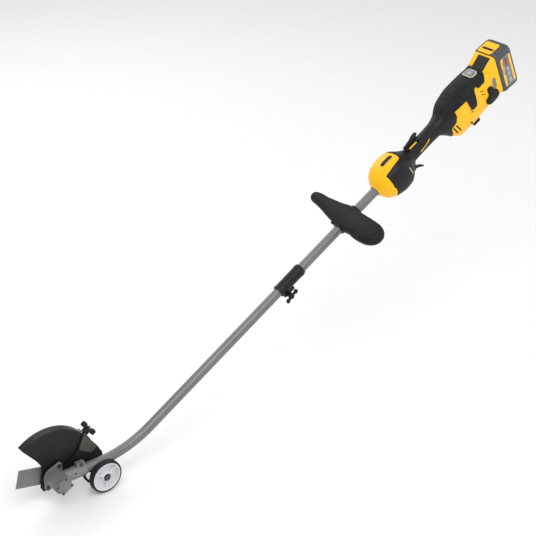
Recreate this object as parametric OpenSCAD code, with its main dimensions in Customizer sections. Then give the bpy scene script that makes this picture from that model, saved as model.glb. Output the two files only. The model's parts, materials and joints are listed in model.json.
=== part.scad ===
// Battery stick edger: a power head with a rear grip, a two-piece shaft and an edging attachment.
// +X runs rearward from the blade to the battery, +Z is up and -Y is the operator's left.
// The origin is on the shaft axis, in the middle of the rear grip.

/* [Shaft] */
// Slope of the shaft above level with the wheel on the ground, in degrees
shaft_angle = 30; // [26:1:34]
// Outside diameter of both shaft tubes
tube_d = 25.4; // [25:0.1:26]
// Wall of the shaft tubes
tube_wall = 1.6; // [1.2:0.1:2]
// Distance along the shaft from the grip to the elbow
elbow_reach = 1160; // [1100:5:1250]
// Radius of the bend in the lower tube
bend_r = 300; // [250:10:340]
// Level distance from the elbow to the blade arbor
arbor_reach = 208; // [200:1:220]
// Diameter of the drive shafts
drive_d = 6.4; // [5:0.1:7]

/* [Shaft coupler] */
// Distance from the grip to the front end of the coupler
coupler_front = 592; // [560:2:640]
// Length of the coupler sleeve
coupler_len = 90; // [80:1:100]
// Outside diameter of the coupler sleeve
coupler_d = 33; // [32:0.5:36]
// Width across the coupler's wing knob
coupler_knob_w = 44; // [36:1:50]

/* [Front handle] */
// Distance from the grip to the middle of the front handle
handle_at = 315; // [290:1:340]
// Reach of the handle on its slim side
handle_far = 143; // [130:1:150]
// Reach of the handle on its broad side
handle_near = 147; // [130:1:155]
// Height of the handle arms above the shaft axis
handle_lift = 13; // [8:1:16]

/* [Power head] */
// Distance from the grip to the nose of the motor housing
nose_at = 203; // [195:1:210]
// Widest half width of the motor housing
motor_half_w = 53; // [50:1:56]
// Half thickness of the rear grip
grip_r = 20.5; // [19:0.5:22]
// Half width of the rear housing
rear_half_w = 37; // [35:1:39]
// Wall of the moulded housings
shell_wall = 3; // [2.5:0.5:3.5]
// Outside radius of the motor stator
stator_r = 34; // [30:1:36]

/* [Battery] */
// Distance from the grip to the front face of the battery
battery_at = 283; // [280:1:288]
// Length of the battery
battery_len = 130; // [120:1:134]
// Width of the battery
battery_w = 84; // [80:1:88]
// Depth of the battery, front to back
battery_h = 62; // [58:1:66]
// Lean of the battery's top toward the rear, in degrees
battery_tilt = 6; // [4:1:7]

/* [Blade and guard] */
// Length of the blade, tip to tip
blade_len = 190; // [180:1:200]
// Width of the blade
blade_w = 50; // [45:1:54]
// Thickness of the blade
blade_t = 2.8; // [2:0.1:3]
// Angle of the blade above level at rest, in degrees
blade_rest = 14; // [0:1:20]
// Outside radius of the guard's rim
guard_r = 125; // [120:1:128]
// Depth of the guard's rim across the blade
guard_depth = 25; // [22:1:30]
// Length of the guard's straight rear flap
flap_len = 92; // [70:1:100]

/* [Wheel] */
// Radius of the tyre
wheel_r = 44.5; // [40:0.5:48]
// Width of the tyre
wheel_w = 17; // [14:0.5:17]
// Level distance from the arbor back to the axle
axle_back = 124; // [118:1:128]
// Drop of the axle below the arbor
axle_drop = 32; // [30:1:36]
// Length of the stroke slot for the depth setting, in degrees
depth_slot = 9; // [8:1:10]

/* [Hidden] */
$fn = 48;

yellow = [0.98, 0.74, 0.1];
black = [0.13, 0.13, 0.14];
grey = [0.5, 0.5, 0.51];
dark_grey = [0.3, 0.31, 0.34];
steel = [0.72, 0.73, 0.75];
white = [0.88, 0.88, 0.88];
brass = [0.8, 0.65, 0.35];
copper = [0.7, 0.4, 0.2];
green = [0.1, 0.4, 0.2];

tube_r = tube_d / 2;
bore_r = tube_r - tube_wall;
drive_r = drive_d / 2;
fit = 0.05;        // radial clearance of a running fit
sleeve_r = tube_r + fit;
joint_gap = 0.02;  // keeps the bent and straight stretches of a tube as separate closed solids
bearing_gap = fit;

bend_leg = bend_r * tan(shaft_angle / 2);
elbow_x = -elbow_reach * cos(shaft_angle);
arbor_z = -elbow_reach * sin(shaft_angle);
arbor_x = elbow_x - arbor_reach;
bend_at = elbow_reach - bend_leg;      // shaft distance where the bend starts
level_x = elbow_x - bend_leg;          // where the level stretch starts
clamp_back = 78;                       // rear end of the gear case, from the arbor
tube_front = 58;                       // front end of the lower tube, from the arbor

upper_tube_end = coupler_front - coupler_len + 12;
lower_tube_end = upper_tube_end + 6;

// ---------- placing helpers ----------

module on_shaft() {
    rotate([0, -shaft_angle, 0]) children();
}

module at_arbor() {
    translate([arbor_x, 0, arbor_z]) children();
}

module on_battery() {
    on_shaft() translate([battery_at, 0, 0]) rotate([0, battery_tilt, 0]) children();
}

// A rod along X or along Y between two stations
module x_rod(r, x0, x1) {
    translate([x0, 0, 0]) rotate([0, 90, 0]) cylinder(r = r, h = x1 - x0);
}

module y_rod(r, y0, y1) {
    translate([0, y0, 0]) rotate([-90, 0, 0]) cylinder(r = r, h = y1 - y0);
}

module x_tube(r, hole, x0, x1) {
    difference() {
        x_rod(r, x0, x1);
        x_rod(hole, x0 - 1, x1 + 1);
    }
}

module y_tube(r, hole, y0, y1) {
    difference() {
        y_rod(r, y0, y1);
        y_rod(hole, y0 - 1, y1 + 1);
    }
}

// An outline drawn in X and Z, thick from y0 to y1
module side_plate(y0, y1) {
    translate([0, y1, 0]) rotate([90, 0, 0]) linear_extrude(y1 - y0) children();
}

module box(x0, x1, y0, y1, z0, z1) {
    translate([x0, y0, z0]) cube([x1 - x0, y1 - y0, z1 - z0]);
}

// ---------- lofted shells ----------
// A section is [x, half width, height above, depth below, squareness].

function rounded(c, e) = sign(c) * pow(abs(c), 2 / e);
function rim(s, a, g) = [
    s[0],
    (s[1] + g) * rounded(cos(a), s[4]),
    ((sin(a) >= 0 ? s[2] : s[3]) + g) * rounded(sin(a), s[4]),
];
function arc_ring(s, a0, a1, outer, inner, n) = concat(
    [for (i = [0:n]) rim(s, a0 + (a1 - a0) * i / n, outer)],
    [for (i = [n:-1:0]) rim(s, a0 + (a1 - a0) * i / n, inner)]
);
function full_ring(s, n) = [for (i = [0:n - 1]) rim(s, 360 * i / n, 0)];

// Faces of a flat end: a fan for a full ring, or a strip between the outer and the inner edge of a curved wall
function end_faces(n, wall) = wall
    ? [for (i = [0:n / 2 - 2]) each [[i, i + 1, n - 2 - i], [i, n - 2 - i, n - 1 - i]]]
    : [for (i = [1:n - 2]) [0, i, i + 1]];

// Joins equal rings of points, one after another, into a closed solid
module join_rings(rings, wall = false) {
    n = len(rings[0]);
    last = len(rings) - 1;
    side = [for (j = [0:last - 1]) for (i = [0:n - 1]) let (k = (i + 1) % n)
        each [[j * n + i, (j + 1) * n + i, j * n + k],
              [j * n + k, (j + 1) * n + i, (j + 1) * n + k]]];
    front = end_faces(n, wall);
    back = [for (f = front) [last * n + f[2], last * n + f[1], last * n + f[0]]];
    polyhedron(points = [for (r = rings) each r], faces = concat(side, front, back), convexity = 6);
}

// A curved wall that covers the angles a0 to a1 around the sections
module skin(sections, a0, a1, outer, inner, n = 12) {
    join_rings([for (s = sections) arc_ring(s, a0, a1, outer, inner, n)], wall = true);
}

module loft(sections, n = 28) {
    join_rings([for (s = sections) full_ring(s, n)]);
}

motor_split = -96;   // station where the yellow housing meets the black grip shells
motor_sections = [
    [-nose_at, 18, 18, 18, 2.2],
    [-nose_at + 7, 27, 27, 28, 2.3],
    [-nose_at + 22, motor_half_w - 9, 42, 44, 2.4],
    [-nose_at + 45, motor_half_w - 2, 49, 50, 2.5],
    [-nose_at + 72, motor_half_w, 51, 54, 2.5],
    [motor_split, motor_half_w - 4, 47, 51, 2.5],
];
grip_sections = [
    [motor_split, motor_half_w - 4, 47, 51, 2.5],
    [motor_split + 14, motor_half_w - 14, 37, 43, 2.4],
    [motor_split + 26, 27, 26, 31, 2.2],
    [motor_split + 38, grip_r, grip_r, grip_r + 1, 2.1],
    [0, grip_r, grip_r, grip_r, 2.1],
    [44, grip_r + 1, grip_r + 2, grip_r + 2, 2.1],
    [66, grip_r + 6, grip_r + 9, 42, 2.3],
];
rear_sections = [
    [66, grip_r + 6, grip_r + 9, 42, 2.3],
    [84, rear_half_w - 6, 38, 62, 2.6],
    [110, rear_half_w - 1, 47, 76, 2.9],
    [150, rear_half_w, 52, 80, 3.1],
    [195, rear_half_w, 51, 76, 3.2],
    [232, rear_half_w, 48, 70, 3.2],
    [262, rear_half_w, 52, 66, 3.4],
];
overmold_sections = [for (s = rear_sections) if (s[0] > 80 && s[0] < 250) s];

left_half = [90.02, 269.98];
right_half = [-89.98, 89.98];

// ---------- motor ----------

module motor_housing_left() {
    color(yellow) on_shaft() skin(motor_sections, left_half[0], left_half[1], 0, -shell_wall, 16);
}

module motor_housing_right() {
    color(yellow) on_shaft() skin(motor_sections, right_half[0], right_half[1], 0, -shell_wall, 16);
}

socket_back = -150;
// Collar that holds the upper tube in the nose of the motor housing
module shaft_socket() {
    color(black) on_shaft() {
        x_tube(14.9, sleeve_r, -nose_at, -nose_at + 8);
        x_tube(20, sleeve_r, -nose_at + 8, socket_back - 6);
        x_tube(20, 8, socket_back - 6, socket_back);
    }
}

stator_mid = -117;
module stator() {
    color(copper) on_shaft() difference() {
        x_rod(stator_r, stator_mid - 17, stator_mid + 17);
        x_rod(18, stator_mid - 18, stator_mid + 18);
        for (a = [0:30:330]) rotate([a, 0, 0])
            box(stator_mid - 18, stator_mid + 18, -1.5, 1.5, 17, stator_r - 6);
    }
}

module motor_bearings() {
    color(steel) on_shaft() {
        x_tube(9, 4 + bearing_gap, -146, -139);
        x_tube(9, 4 + bearing_gap, -84, -77);
    }
}

// Shaft, laminated core and magnets, all turning together
module motor_rotor() {
    color(steel) on_shaft() {
        x_rod(4, -149, -74);
        x_rod(17.5, stator_mid - 16, stator_mid + 16);
    }
}

module cooling_fan() {
    color(black) on_shaft() {
        x_tube(9, 4, -98, -88);
        for (a = [0:30:330]) rotate([a, 0, 0]) box(-97, -89, -0.8, 0.8, 8.5, 28);
        x_tube(28, 6, -90, -88);
    }
}

socket_len = 34;
drive_front = -(coupler_front - coupler_len + 62);
square_w = 4.4;
// Long shaft in the upper tube, with a square socket on its front end
module upper_drive_shaft() {
    color(steel) on_shaft() difference() {
        union() {
            x_rod(drive_r, drive_front + socket_len - 2, -149);
            x_rod(7, drive_front, drive_front + socket_len);
        }
        box(drive_front - 1, drive_front + 26, -square_w / 2, square_w / 2, -square_w / 2, square_w / 2);
    }
}

// ---------- grip, switches ----------

module grip_left() {
    color(black) on_shaft() skin(grip_sections, left_half[0], left_half[1], 0, -shell_wall, 12);
}

module grip_right() {
    color(black) on_shaft() skin(grip_sections, right_half[0], right_half[1], 0, -shell_wall, 12);
}

saddle_base = grip_r + 1.6;
lever_pivot = [-58, saddle_base + 4.5];
// Raised block on top of the grip that carries the lever and the selector
module grip_saddle() {
    color(black) on_shaft() difference() {
        side_plate(-8, 8) polygon([
            [-57, saddle_base], [-64, saddle_base + 2.5], [-64, saddle_base + 8], [-52, saddle_base + 9],
            [-16, saddle_base + 5], [-8, saddle_base],
        ]);
        box(-70, 0, -4, 4, saddle_base + 1, saddle_base + 20);
        translate([lever_pivot[0], 0, lever_pivot[1]]) y_rod(1.6, -7, 7);
        box(-51, -19, -9, -5.9, saddle_base + 1.2, saddle_base + 4.7);
    }
}

module lock_off_lever() {
    color(black) on_shaft() translate([lever_pivot[0], 0, lever_pivot[1]]) {
        y_rod(1.55, -6.8, 6.8);
        side_plate(-3.5, 3.5) polygon([
            [-4, -2.6], [-4.5, 5], [4, 9.5], [16, 12.5], [28, 16.5], [40, 18.5], [45, 16],
            [42, 11.5], [26, 6.5], [8, -0.5], [3, -2.6],
        ]);
    }
}

module speed_selector() {
    color(yellow) on_shaft() box(-48, -28, -9.6, -6, saddle_base + 1.3, saddle_base + 4.6);
}

trigger_pivot = [-71, -45];
// Bracket in the notch between the motor housing and the grip
module trigger_mount() {
    color(black) on_shaft() difference() {
        side_plate(-9, 9) polygon([
            [-78, -39], [-76, -49.5], [-66, -50.5], [-58, -30], [-54, -23.2], [-62, -28.5],
        ]);
        box(-90, -40, -5.6, 5.6, -60, -40.6);
        box(-67, -40, -5.6, 5.6, -60, -20);
        translate([trigger_pivot[0], 0, trigger_pivot[1]]) y_rod(1.6, -7.5, 7.5);
    }
}

module trigger() {
    color(black) on_shaft() translate([trigger_pivot[0], 0, trigger_pivot[1]]) {
        y_rod(1.55, -7.3, 7.3);
        side_plate(-4, 4) polygon([
            [-3, -2.5], [-2.5, 2.5], [6, 3], [16, -3], [26, -9], [34, -17], [37, -22], [33, -21.5],
            [25, -15.5], [14, -9.5], [5, -6],
        ]);
    }
}

module trigger_spring() {
    color(steel) on_shaft() for (y = [4.45, 5.15]) translate([trigger_pivot[0], y, trigger_pivot[1]])
        rotate([90, 0, 0]) rotate_extrude() translate([2.25, 0]) circle(r = 0.3);
}

module trigger_switch() {
    color(black) on_shaft() {
        box(-52, -22, -8, 8, -14, 4);
        box(-48, -44, -2, 2, -16, -14);
    }
}

// ---------- rear housing ----------

module rear_housing_left() {
    color(yellow) on_shaft() skin(rear_sections, left_half[0], left_half[1], 0, -shell_wall, 14);
}

module rear_housing_right() {
    color(yellow) on_shaft() skin(rear_sections, right_half[0], right_half[1], 0, -shell_wall, 14);
}

overmold_t = 5;
module top_overmold() {
    color(black) on_shaft() skin(overmold_sections, 25, 155, overmold_t, 0.3, 16);
}

module badge_plate() {
    color(steel) on_shaft() translate([214, 0, 57.5]) rotate([0, 3, 0]) cylinder(r = 13, h = 1.6, $fn = 8);
}

module side_bumpers() {
    color(black) on_shaft() for (m = [0, 1]) mirror([0, m, 0]) {
        translate([236, rear_half_w + 0.4, -22]) rotate([-90, 0, 0]) cylinder(r = 13, h = 4);
        translate([178, rear_half_w + 0.4, 6]) rotate([-90, 0, 0]) cylinder(r = 9, h = 3);
    }
}

foot_face = 92;
module rear_foot() {
    color(black) on_shaft() difference() {
        box(160, 184, -16, 16, -foot_face, -80.4);
        box(158, 186, -7, 7, -foot_face - 1, -foot_face + 3);
    }
}

module control_board() {
    color(green) on_shaft() {
        box(120, 220, -24, 24, -40, -38.4);
        for (x = [132, 156, 180]) box(x, x + 14, -18, 18, -38.4, -20);
    }
}

// Heads of the screws that join the left and right housings
module housing_screws() {
    color(steel) on_shaft() for (p = [[140, -50], [215, -45]])
        translate([p[0], -rear_half_w - 3.2, p[1]]) rotate([-90, 0, 0]) difference() {
            cylinder(r = 3.5, h = 2.2);
            translate([0, 0, -1]) cylinder(r = 1.5, h = 2, $fn = 6);
        }
}

rail_y = 24;
module battery_receptacle() {
    color(yellow) on_battery() difference() {
        union() {
            box(-11, -0.6, -battery_w / 2 + 3, battery_w / 2 - 3, -56, 60);
            for (m = [0, 1]) mirror([0, m, 0]) {
                box(-1, 5, rail_y - 3, rail_y, -50, 30);
                box(2.6, 5, rail_y - 3, rail_y + 4, -50, 30);
            }
        }
        box(-12, 1, -14, 14, -30, 20);
    }
}

module terminal_block() {
    color(brass) on_battery() {
        box(-10, -2, -13, 13, -29, 19);
        for (y = [-9, -3, 3, 9]) box(-2, 3.5, y - 0.6, y + 0.6, -24, -8);
    }
}

// ---------- battery ----------

module battery_outline(h, w) {
    c = 8;
    polygon([[0, -w / 2 + 2], [0, w / 2 - 2], [c, w / 2], [h - c, w / 2], [h, w / 2 - c],
             [h, -w / 2 + c], [h - c, -w / 2], [c, -w / 2]]);
}

cell_r = 10.6;
module battery_case() {
    half = battery_len / 2;
    color(dark_grey) on_battery() difference() {
        translate([0, 0, -half]) linear_extrude(battery_len) battery_outline(battery_h, battery_w);
        box(9, battery_h - 4, -battery_w / 2 + 4, battery_w / 2 - 4, -half + 4, half - 14);
        // channels for the rails, open at the bottom end
        for (m = [0, 1]) mirror([0, m, 0]) {
            box(-1, 5.4, rail_y - 3.4, rail_y + 0.4, -half - 1, 30.4);
            box(2.2, 5.4, rail_y - 3.4, rail_y + 4.4, -half - 1, 30.4);
        }
        // terminal pocket
        box(-1, 4.2, -12, 12, -half - 1, -7);
        // pocket for the release button
        box(14, 48, -20.2, 20.2, half - 12, half + 1);
        // label recesses
        for (y = [-1, 1]) translate([0, y * battery_w / 2, 0])
            box(9, battery_h - 8, -1, 1, -half + 12, half - 14);
        // two holes in the top end
        for (x = [12, 50]) translate([x, -battery_w / 2 + 12, half - 6]) cylinder(r = 2.2, h = 8);
    }
}

module battery_cells() {
    color(steel) on_battery() for (x = [20.2, 44]) for (z = [-1, 0, 1]) translate([x, 0, z * 23 - 6])
        rotate([90, 0, 0]) cylinder(r = cell_r, h = 70, center = true);
}

module battery_side_panels() {
    half = battery_len / 2;
    color(black) on_battery() for (m = [0, 1]) mirror([0, m, 0])
        box(9.2, battery_h - 8.2, battery_w / 2 - 0.95, battery_w / 2 - 0.05, -half + 12.2, half - 14.2);
}

module battery_button() {
    half = battery_len / 2;
    color(yellow) on_battery() difference() {
        box(14.3, 47.7, -19.9, 19.9, half - 8, half + 1.5);
        box(22, 40, -14, 14, half + 0.5, half + 2);
    }
}

// ---------- shaft ----------

module upper_tube() {
    color(grey) on_shaft() x_tube(tube_r, bore_r, -upper_tube_end, socket_back - 7);
}

// Arms of the front handle, drawn outward along X and turned to each side
far_arm = [
    [18, 35, 20, 20, 2.6],
    [34, 32, 19, 20, 2.5],
    [62, 26, 17.5, 18, 2.3],
    [95, 20, 16.5, 17, 2.1],
    [handle_far - 18, 16.5, 16, 16, 2],
    [handle_far - 6, 13, 12.5, 12.5, 2],
    [handle_far, 6, 6, 6, 2],
];
near_arm = [
    [18, 35, 20, 20, 2.6],
    [40, 35.5, 20, 20, 2.6],
    [75, 35, 19.5, 19.5, 2.5],
    [105, 30, 18.5, 18.5, 2.3],
    [handle_near - 18, 23, 17, 17, 2.1],
    [handle_near - 6, 15, 12.5, 12.5, 2],
    [handle_near, 6, 6, 6, 2],
];

module handle_near_arm() {
    color(black) on_shaft() translate([-handle_at - 4, 0, handle_lift - 8]) rotate([0, 0, -90]) loft(near_arm);
}

module handle_far_arm() {
    color(black) on_shaft() translate([-handle_at, 0, handle_lift - 6]) rotate([0, 0, 90]) loft(far_arm);
}

clamp_half = 34;
module handle_clamp() {
    color(black) on_shaft() translate([-handle_at, 0, 0]) difference() {
        box(-clamp_half, clamp_half, -17.8, 17.8, -18, 28);
        x_rod(sleeve_r, -clamp_half - 1, clamp_half + 1);
        box(-clamp_half - 1, clamp_half + 1, -18, 18, -0.8, 0.8);
        for (x = [-20, 20]) for (y = [-15.4, 15.4]) translate([x, y, -20]) cylinder(r = 2.05, h = 40);
    }
}

module handle_screws() {
    color(steel) on_shaft() translate([-handle_at, 0, 0]) for (x = [-20, 20]) for (y = [-15.4, 15.4])
        translate([x, y, -20]) {
            cylinder(r = 2, h = 38);
            translate([0, 0, -1.5]) cylinder(r = 3.5, h = 3.4);
        }
}

lug_z = -21;
bolt_at = -(coupler_front - 17);
module coupler_sleeve() {
    c0 = -coupler_front;
    c1 = c0 + coupler_len;
    color(black) on_shaft() difference() {
        union() {
            x_rod(coupler_d / 2, c0, c1);
            x_rod(coupler_d / 2 + 1.2, c0, c0 + 5);
            x_rod(coupler_d / 2 + 1.2, c1 - 12, c1 - 6);
            box(bolt_at - 12, bolt_at + 26, -9, 9, lug_z - 7, -10);
        }
        x_rod(sleeve_r, c0 - 1, c1 + 1);
        box(c0 - 1, c0 + 46, -1, 1, lug_z - 8, 0);
        translate([bolt_at, 0, lug_z]) y_rod(3.05, -10, 10);
        translate([bolt_at + 40, 0, lug_z - 15]) y_rod(20, -10, 10);
    }
}

// Wing knob with its bolt through the clamp lug
module coupler_knob() {
    color(black) on_shaft() translate([bolt_at, 0, lug_z]) {
        y_rod(3, -14, 12);
        y_rod(5.5, 9.2, 13);
        y_rod(5, -12, -9.3);
        y_rod(7, -31, -11.2);
        for (s = [-1, 1]) translate([s * (coupler_knob_w / 2 - 6), 0, s * 3]) y_rod(6, -31, -19.5);
        for (s = [-1, 1]) hull() {
            translate([s * (coupler_knob_w / 2 - 7), 0, s * 3]) y_rod(4, -30, -20.5, $fn = 32);
            y_rod(5, -30, -20.5, $fn = 32);
        }
    }
}

module shaft_bushings() {
    color(white) on_shaft() for (s = [-460, -360, -260]) x_tube(bore_r, drive_r + bearing_gap, s, s + 12);
}

// Sweeps a round profile through the bend
module bend() {
    translate([level_x, 0, arbor_z + bend_r]) rotate([90, 0, 0]) rotate([0, 0, -90])
        rotate_extrude(angle = shaft_angle) translate([bend_r, 0]) children();
}

// Lower tube: straight, then bent to run level into the gear case
module lower_tube() {
    color(grey) {
        on_shaft() x_tube(tube_r, bore_r, -bend_at + joint_gap, -lower_tube_end);
        bend() difference() {
            circle(r = tube_r);
            circle(r = bore_r);
        }
        at_arbor() x_tube(tube_r, bore_r, tube_front, level_x - arbor_x - joint_gap);
    }
}

lower_shaft_front = -(bend_at - 40);
module lower_drive_shaft() {
    color(steel) on_shaft() {
        x_rod(drive_r, lower_shaft_front, drive_front - 4);
        box(drive_front - 5, drive_front + 22, -2.1, 2.1, -2.1, 2.1);
    }
}

// Flexible cable through the bend, in its liner
module flexible_cable() {
    color(steel) {
        bend() circle(r = 3);
        on_shaft() x_rod(3, -bend_at + joint_gap, lower_shaft_front - 1);
        at_arbor() x_rod(3, 71, level_x - arbor_x - joint_gap);
    }
}

// ---------- gear case ----------

ear_r = 31;
ear_angle = 56;
flange_y = 17;     // near face of the flange
wall_y = 25.2;     // near face of the guard's wall
head_front = -24;  // near face of the gear head
pin_teeth = 12;
gear_teeth = 24;
gear_out = 15;     // pitch radius of the gear at its wide end
pin_out = gear_out * pin_teeth / gear_teeth;
gear_cone = atan(pin_out / gear_out);
clamp_bolt_z = 20.4;
neck_x = 38;       // where the neck widens for the tube clamp
web_w = 7;         // half width of the web that carries the ears

module ear_spots() {
    for (a = [ear_angle, ear_angle + 180]) rotate([0, -a, 0]) translate([ear_r, 0, 0]) children();
}

// Two set screws on the near side of the gear case neck
module neck_screw_spots() {
    for (p = [[neck_x + 6, 7], [clamp_back - 10, -8]]) translate([p[0], 0, p[1]]) children();
}

module gear_case() {
    color(grey) at_arbor() difference() {
        union() {
            y_rod(24, head_front, flange_y);
            x_rod(16, 0, neck_x);
            x_rod(16.5, neck_x, clamp_back);
            box(clamp_back - 24, clamp_back - 2, -6, 6, 14, clamp_bolt_z + 5);
            y_rod(26, flange_y, flange_y + 5);
            ear_spots() y_rod(8, flange_y, flange_y + 5);
            rotate([0, -ear_angle, 0]) box(-ear_r, ear_r, flange_y, flange_y + 5, -web_w, web_w);
            y_rod(21, flange_y + 5, wall_y);
        }
        // arbor and gear chamber
        y_rod(19.6, head_front - 1, 8);
        y_rod(11, 7, 15);
        y_rod(8.6, 14, wall_y + 1);
        // pinion chamber and tube socket
        x_rod(11, 12, tube_front);
        x_rod(sleeve_r, tube_front - 0.2, clamp_back + 1);
        box(clamp_back - 28, clamp_back + 1, -1, 1, 0, clamp_bolt_z + 6);
        neck_screw_spots() y_rod(2.45, -18, -13.2);
        translate([clamp_back - 12, 0, clamp_bolt_z]) y_rod(2.6, -8, 8);
        ear_spots() y_rod(3.05, flange_y - 1, flange_y + 6);
    }
}

cap_w = 36;
module bearing_cap() {
    color(grey) at_arbor() difference() {
        union() {
            rotate([0, -30, 0]) box(-cap_w / 2, cap_w / 2, -35, head_front, -cap_w / 2, cap_w / 2);
            y_rod(24, head_front - 3, head_front);
            y_rod(19.5, head_front, -22);
        }
        y_rod(9, -31, -21);
        rotate([0, -30, 0]) for (x = [-14, 14]) for (z = [-14, 14]) translate([x, 0, z]) y_rod(1.8, -36, -29);
    }
}

module gear_case_screws() {
    color(steel) at_arbor() {
        rotate([0, -30, 0]) for (x = [-14, 14]) for (z = [-14, 14]) translate([x, 0, z]) {
            y_rod(1.75, -34.5, -29.5);
            y_rod(2.8, -36.8, -35);
        }
        translate([clamp_back - 12, 0, clamp_bolt_z]) {
            y_rod(2.55, -7.5, 7.5);
            y_rod(4.2, -9.5, -6.1);
        }
        neck_screw_spots() y_rod(2.4, -16.6, -13.3);
    }
}

module bearings() {
    color(steel) at_arbor() {
        y_tube(9, 5 + bearing_gap, -31, -24.5);
        y_tube(11, 7.5 + bearing_gap, 8, 14);
        x_tube(11, 4 + bearing_gap, 26, 33);
        x_tube(11, 4 + bearing_gap, 46, 53);
    }
}

// One bevel gear about +X, wide end at x0, with straight slots between its teeth
module bevel(out_r, teeth, half_angle, face, x0, slot_w, tooth_h, turn) {
    run = face * cos(half_angle);
    in_r = out_r - face * sin(half_angle);
    rotate([turn, 0, 0]) difference() {
        translate([x0, 0, 0]) rotate([0, -90, 0]) cylinder(r1 = out_r, r2 = in_r, h = run);
        for (i = [0:teeth - 1]) rotate([360 * i / teeth, 0, 0]) translate([x0, 0, out_r])
            rotate([0, 180 - half_angle, 0]) mirror([0, 0, 1])
                box(-2, face + 4, -slot_w / 2, slot_w / 2, -tooth_h, 4);
    }
}

pin_face = 8;
// Pinion on its short shaft, driven by the flexible cable
module pinion_shaft() {
    color(steel) at_arbor() {
        x_rod(4, gear_out, 70);
        bevel(pin_out + 0.7, pin_teeth, gear_cone, pin_face, gear_out + 0.4, 2.5, 1.9, 0);
    }
}

arbor_tip_y = 46.9;   // the nut ends just before this
arbor_tip_r = 5.6;
module arbor() {
    color(steel) at_arbor() {
        y_rod(5, -30.5, -3.6);
        y_rod(7.5, -3.6, 28.6);
        y_rod(6.2, 28.6, arbor_tip_y);
        y_rod(arbor_tip_r, arbor_tip_y, arbor_tip_y + 3.2);
    }
}

gear_face = 8;
module bevel_gear() {
    color(brass) at_arbor() difference() {
        union() {
            rotate([0, 0, -90])
                bevel(gear_out + 0.4, gear_teeth, 90 - gear_cone, gear_face, pin_out + 0.2, 2.4, 1.9, 7.5);
            y_rod(11, -13, -pin_out);
        }
        y_rod(5, -40, 30);
    }
}

// ---------- blade ----------

blade_y = 32;
module blade_flanges() {
    color(steel) at_arbor() {
        y_tube(18, 6.2, 28.7, blade_y);
        y_tube(16, 6.2, blade_y + blade_t, blade_y + blade_t + 3);
    }
}

module blade() {
    color(grey) at_arbor() rotate([0, blade_rest, 0]) difference() {
        side_plate(blade_y, blade_y + blade_t) polygon([
            [-blade_len / 2, -blade_w / 2], [-blade_len / 2 + 1, blade_w / 2],
            [blade_len / 2, blade_w / 2], [blade_len / 2 - 1, -blade_w / 2],
        ]);
        y_rod(6.2, blade_y - 1, blade_y + blade_t + 1);
    }
}

module blade_nut() {
    nut_y = blade_y + blade_t + 3;
    color(steel) at_arbor() difference() {
        union() {
            translate([0, nut_y, 0]) rotate([-90, 0, 0]) cylinder(r = 11, h = 9, $fn = 6);
            y_rod(12.5, nut_y, nut_y + 1.5);
        }
        y_rod(6.2, nut_y - 1, nut_y + 10);
    }
}

// ---------- guard ----------

guard_t = 2.8;
tip_angle = 126;
flap_angle = 31;
rim_steps = 24;
function on_arc(r, a) = [r * cos(a), r * sin(a)];
function flap_point(r, d) = on_arc(r, flap_angle) + d * [sin(flap_angle), -cos(flap_angle)];
function guard_edge(r) = concat(
    [for (i = [0:rim_steps]) on_arc(r, tip_angle + (flap_angle - tip_angle) * i / rim_steps)],
    [flap_point(r, flap_len)]
);

module guard() {
    edge = guard_edge(guard_r);
    inner = guard_edge(guard_r - guard_t);
    back = flap_point(guard_r, flap_len);
    color(black) at_arbor() difference() {
        union() {
            // side wall beside the blade
            side_plate(wall_y, wall_y + guard_t) polygon(concat(edge, [
                [back[0] - 26, back[1] + 4], [60, -22], [20, -34], [-12, -42], [-27, -38], [-34, -24],
                [-31, 0], [-25, 22], [-28, 40], [-40, 60],
            ]));
            // rim over the blade
            side_plate(wall_y, wall_y + guard_depth)
                polygon(concat(edge, [for (i = [len(inner) - 1:-1:0]) inner[i]]));
            ear_spots() y_rod(5, flange_y + 5, wall_y);
        }
        y_rod(14, wall_y - 1, wall_y + guard_t + 1);
        ear_spots() y_rod(2.55, flange_y + 4, wall_y + guard_t + 1);
        rotate([0, -stud_angle, 0]) translate([guard_r - 10, wall_y + 12.3, 0]) x_rod(3.05, 0, 14);
    }
}

module guard_screws() {
    color(steel) at_arbor() ear_spots() {
        y_rod(2.5, flange_y - 0.5, wall_y + guard_t);
        y_rod(5.4, flange_y - 3.2, flange_y);
    }
}

stud_angle = 35;
stud_y = wall_y + 12.3;
module depth_stud() {
    color(steel) at_arbor() rotate([0, -stud_angle, 0]) translate([guard_r, stud_y, 0]) {
        x_rod(3, -6, 26);
        x_rod(7, -6, -guard_t - 0.5);
    }
}

knob_base = 4.4;
module depth_knob() {
    color(black) at_arbor() rotate([0, -stud_angle, 0]) translate([guard_r, stud_y, 0]) difference() {
        union() {
            x_rod(8, knob_base, 22);
            for (s = [-1, 1]) translate([0, 0, s * 21]) x_rod(7.5, 16, 29);
            for (s = [-1, 1]) hull() {
                translate([0, 0, s * 20]) x_rod(5, 17, 27, $fn = 32);
                x_rod(5, 9, 20, $fn = 32);
            }
        }
        x_rod(3.05, knob_base - 1, 30);
    }
}

// ---------- wheel ----------

arm_y0 = 22.3;
arm_y1 = 24.9;
tab_r = guard_r + 1.6;   // lets the tab pass the guard's straight flap
tab_half = 7.5;          // half the tab's spread, in degrees
module axle_spot() {
    translate([axle_back, 0, -axle_drop]) children();
}

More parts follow.
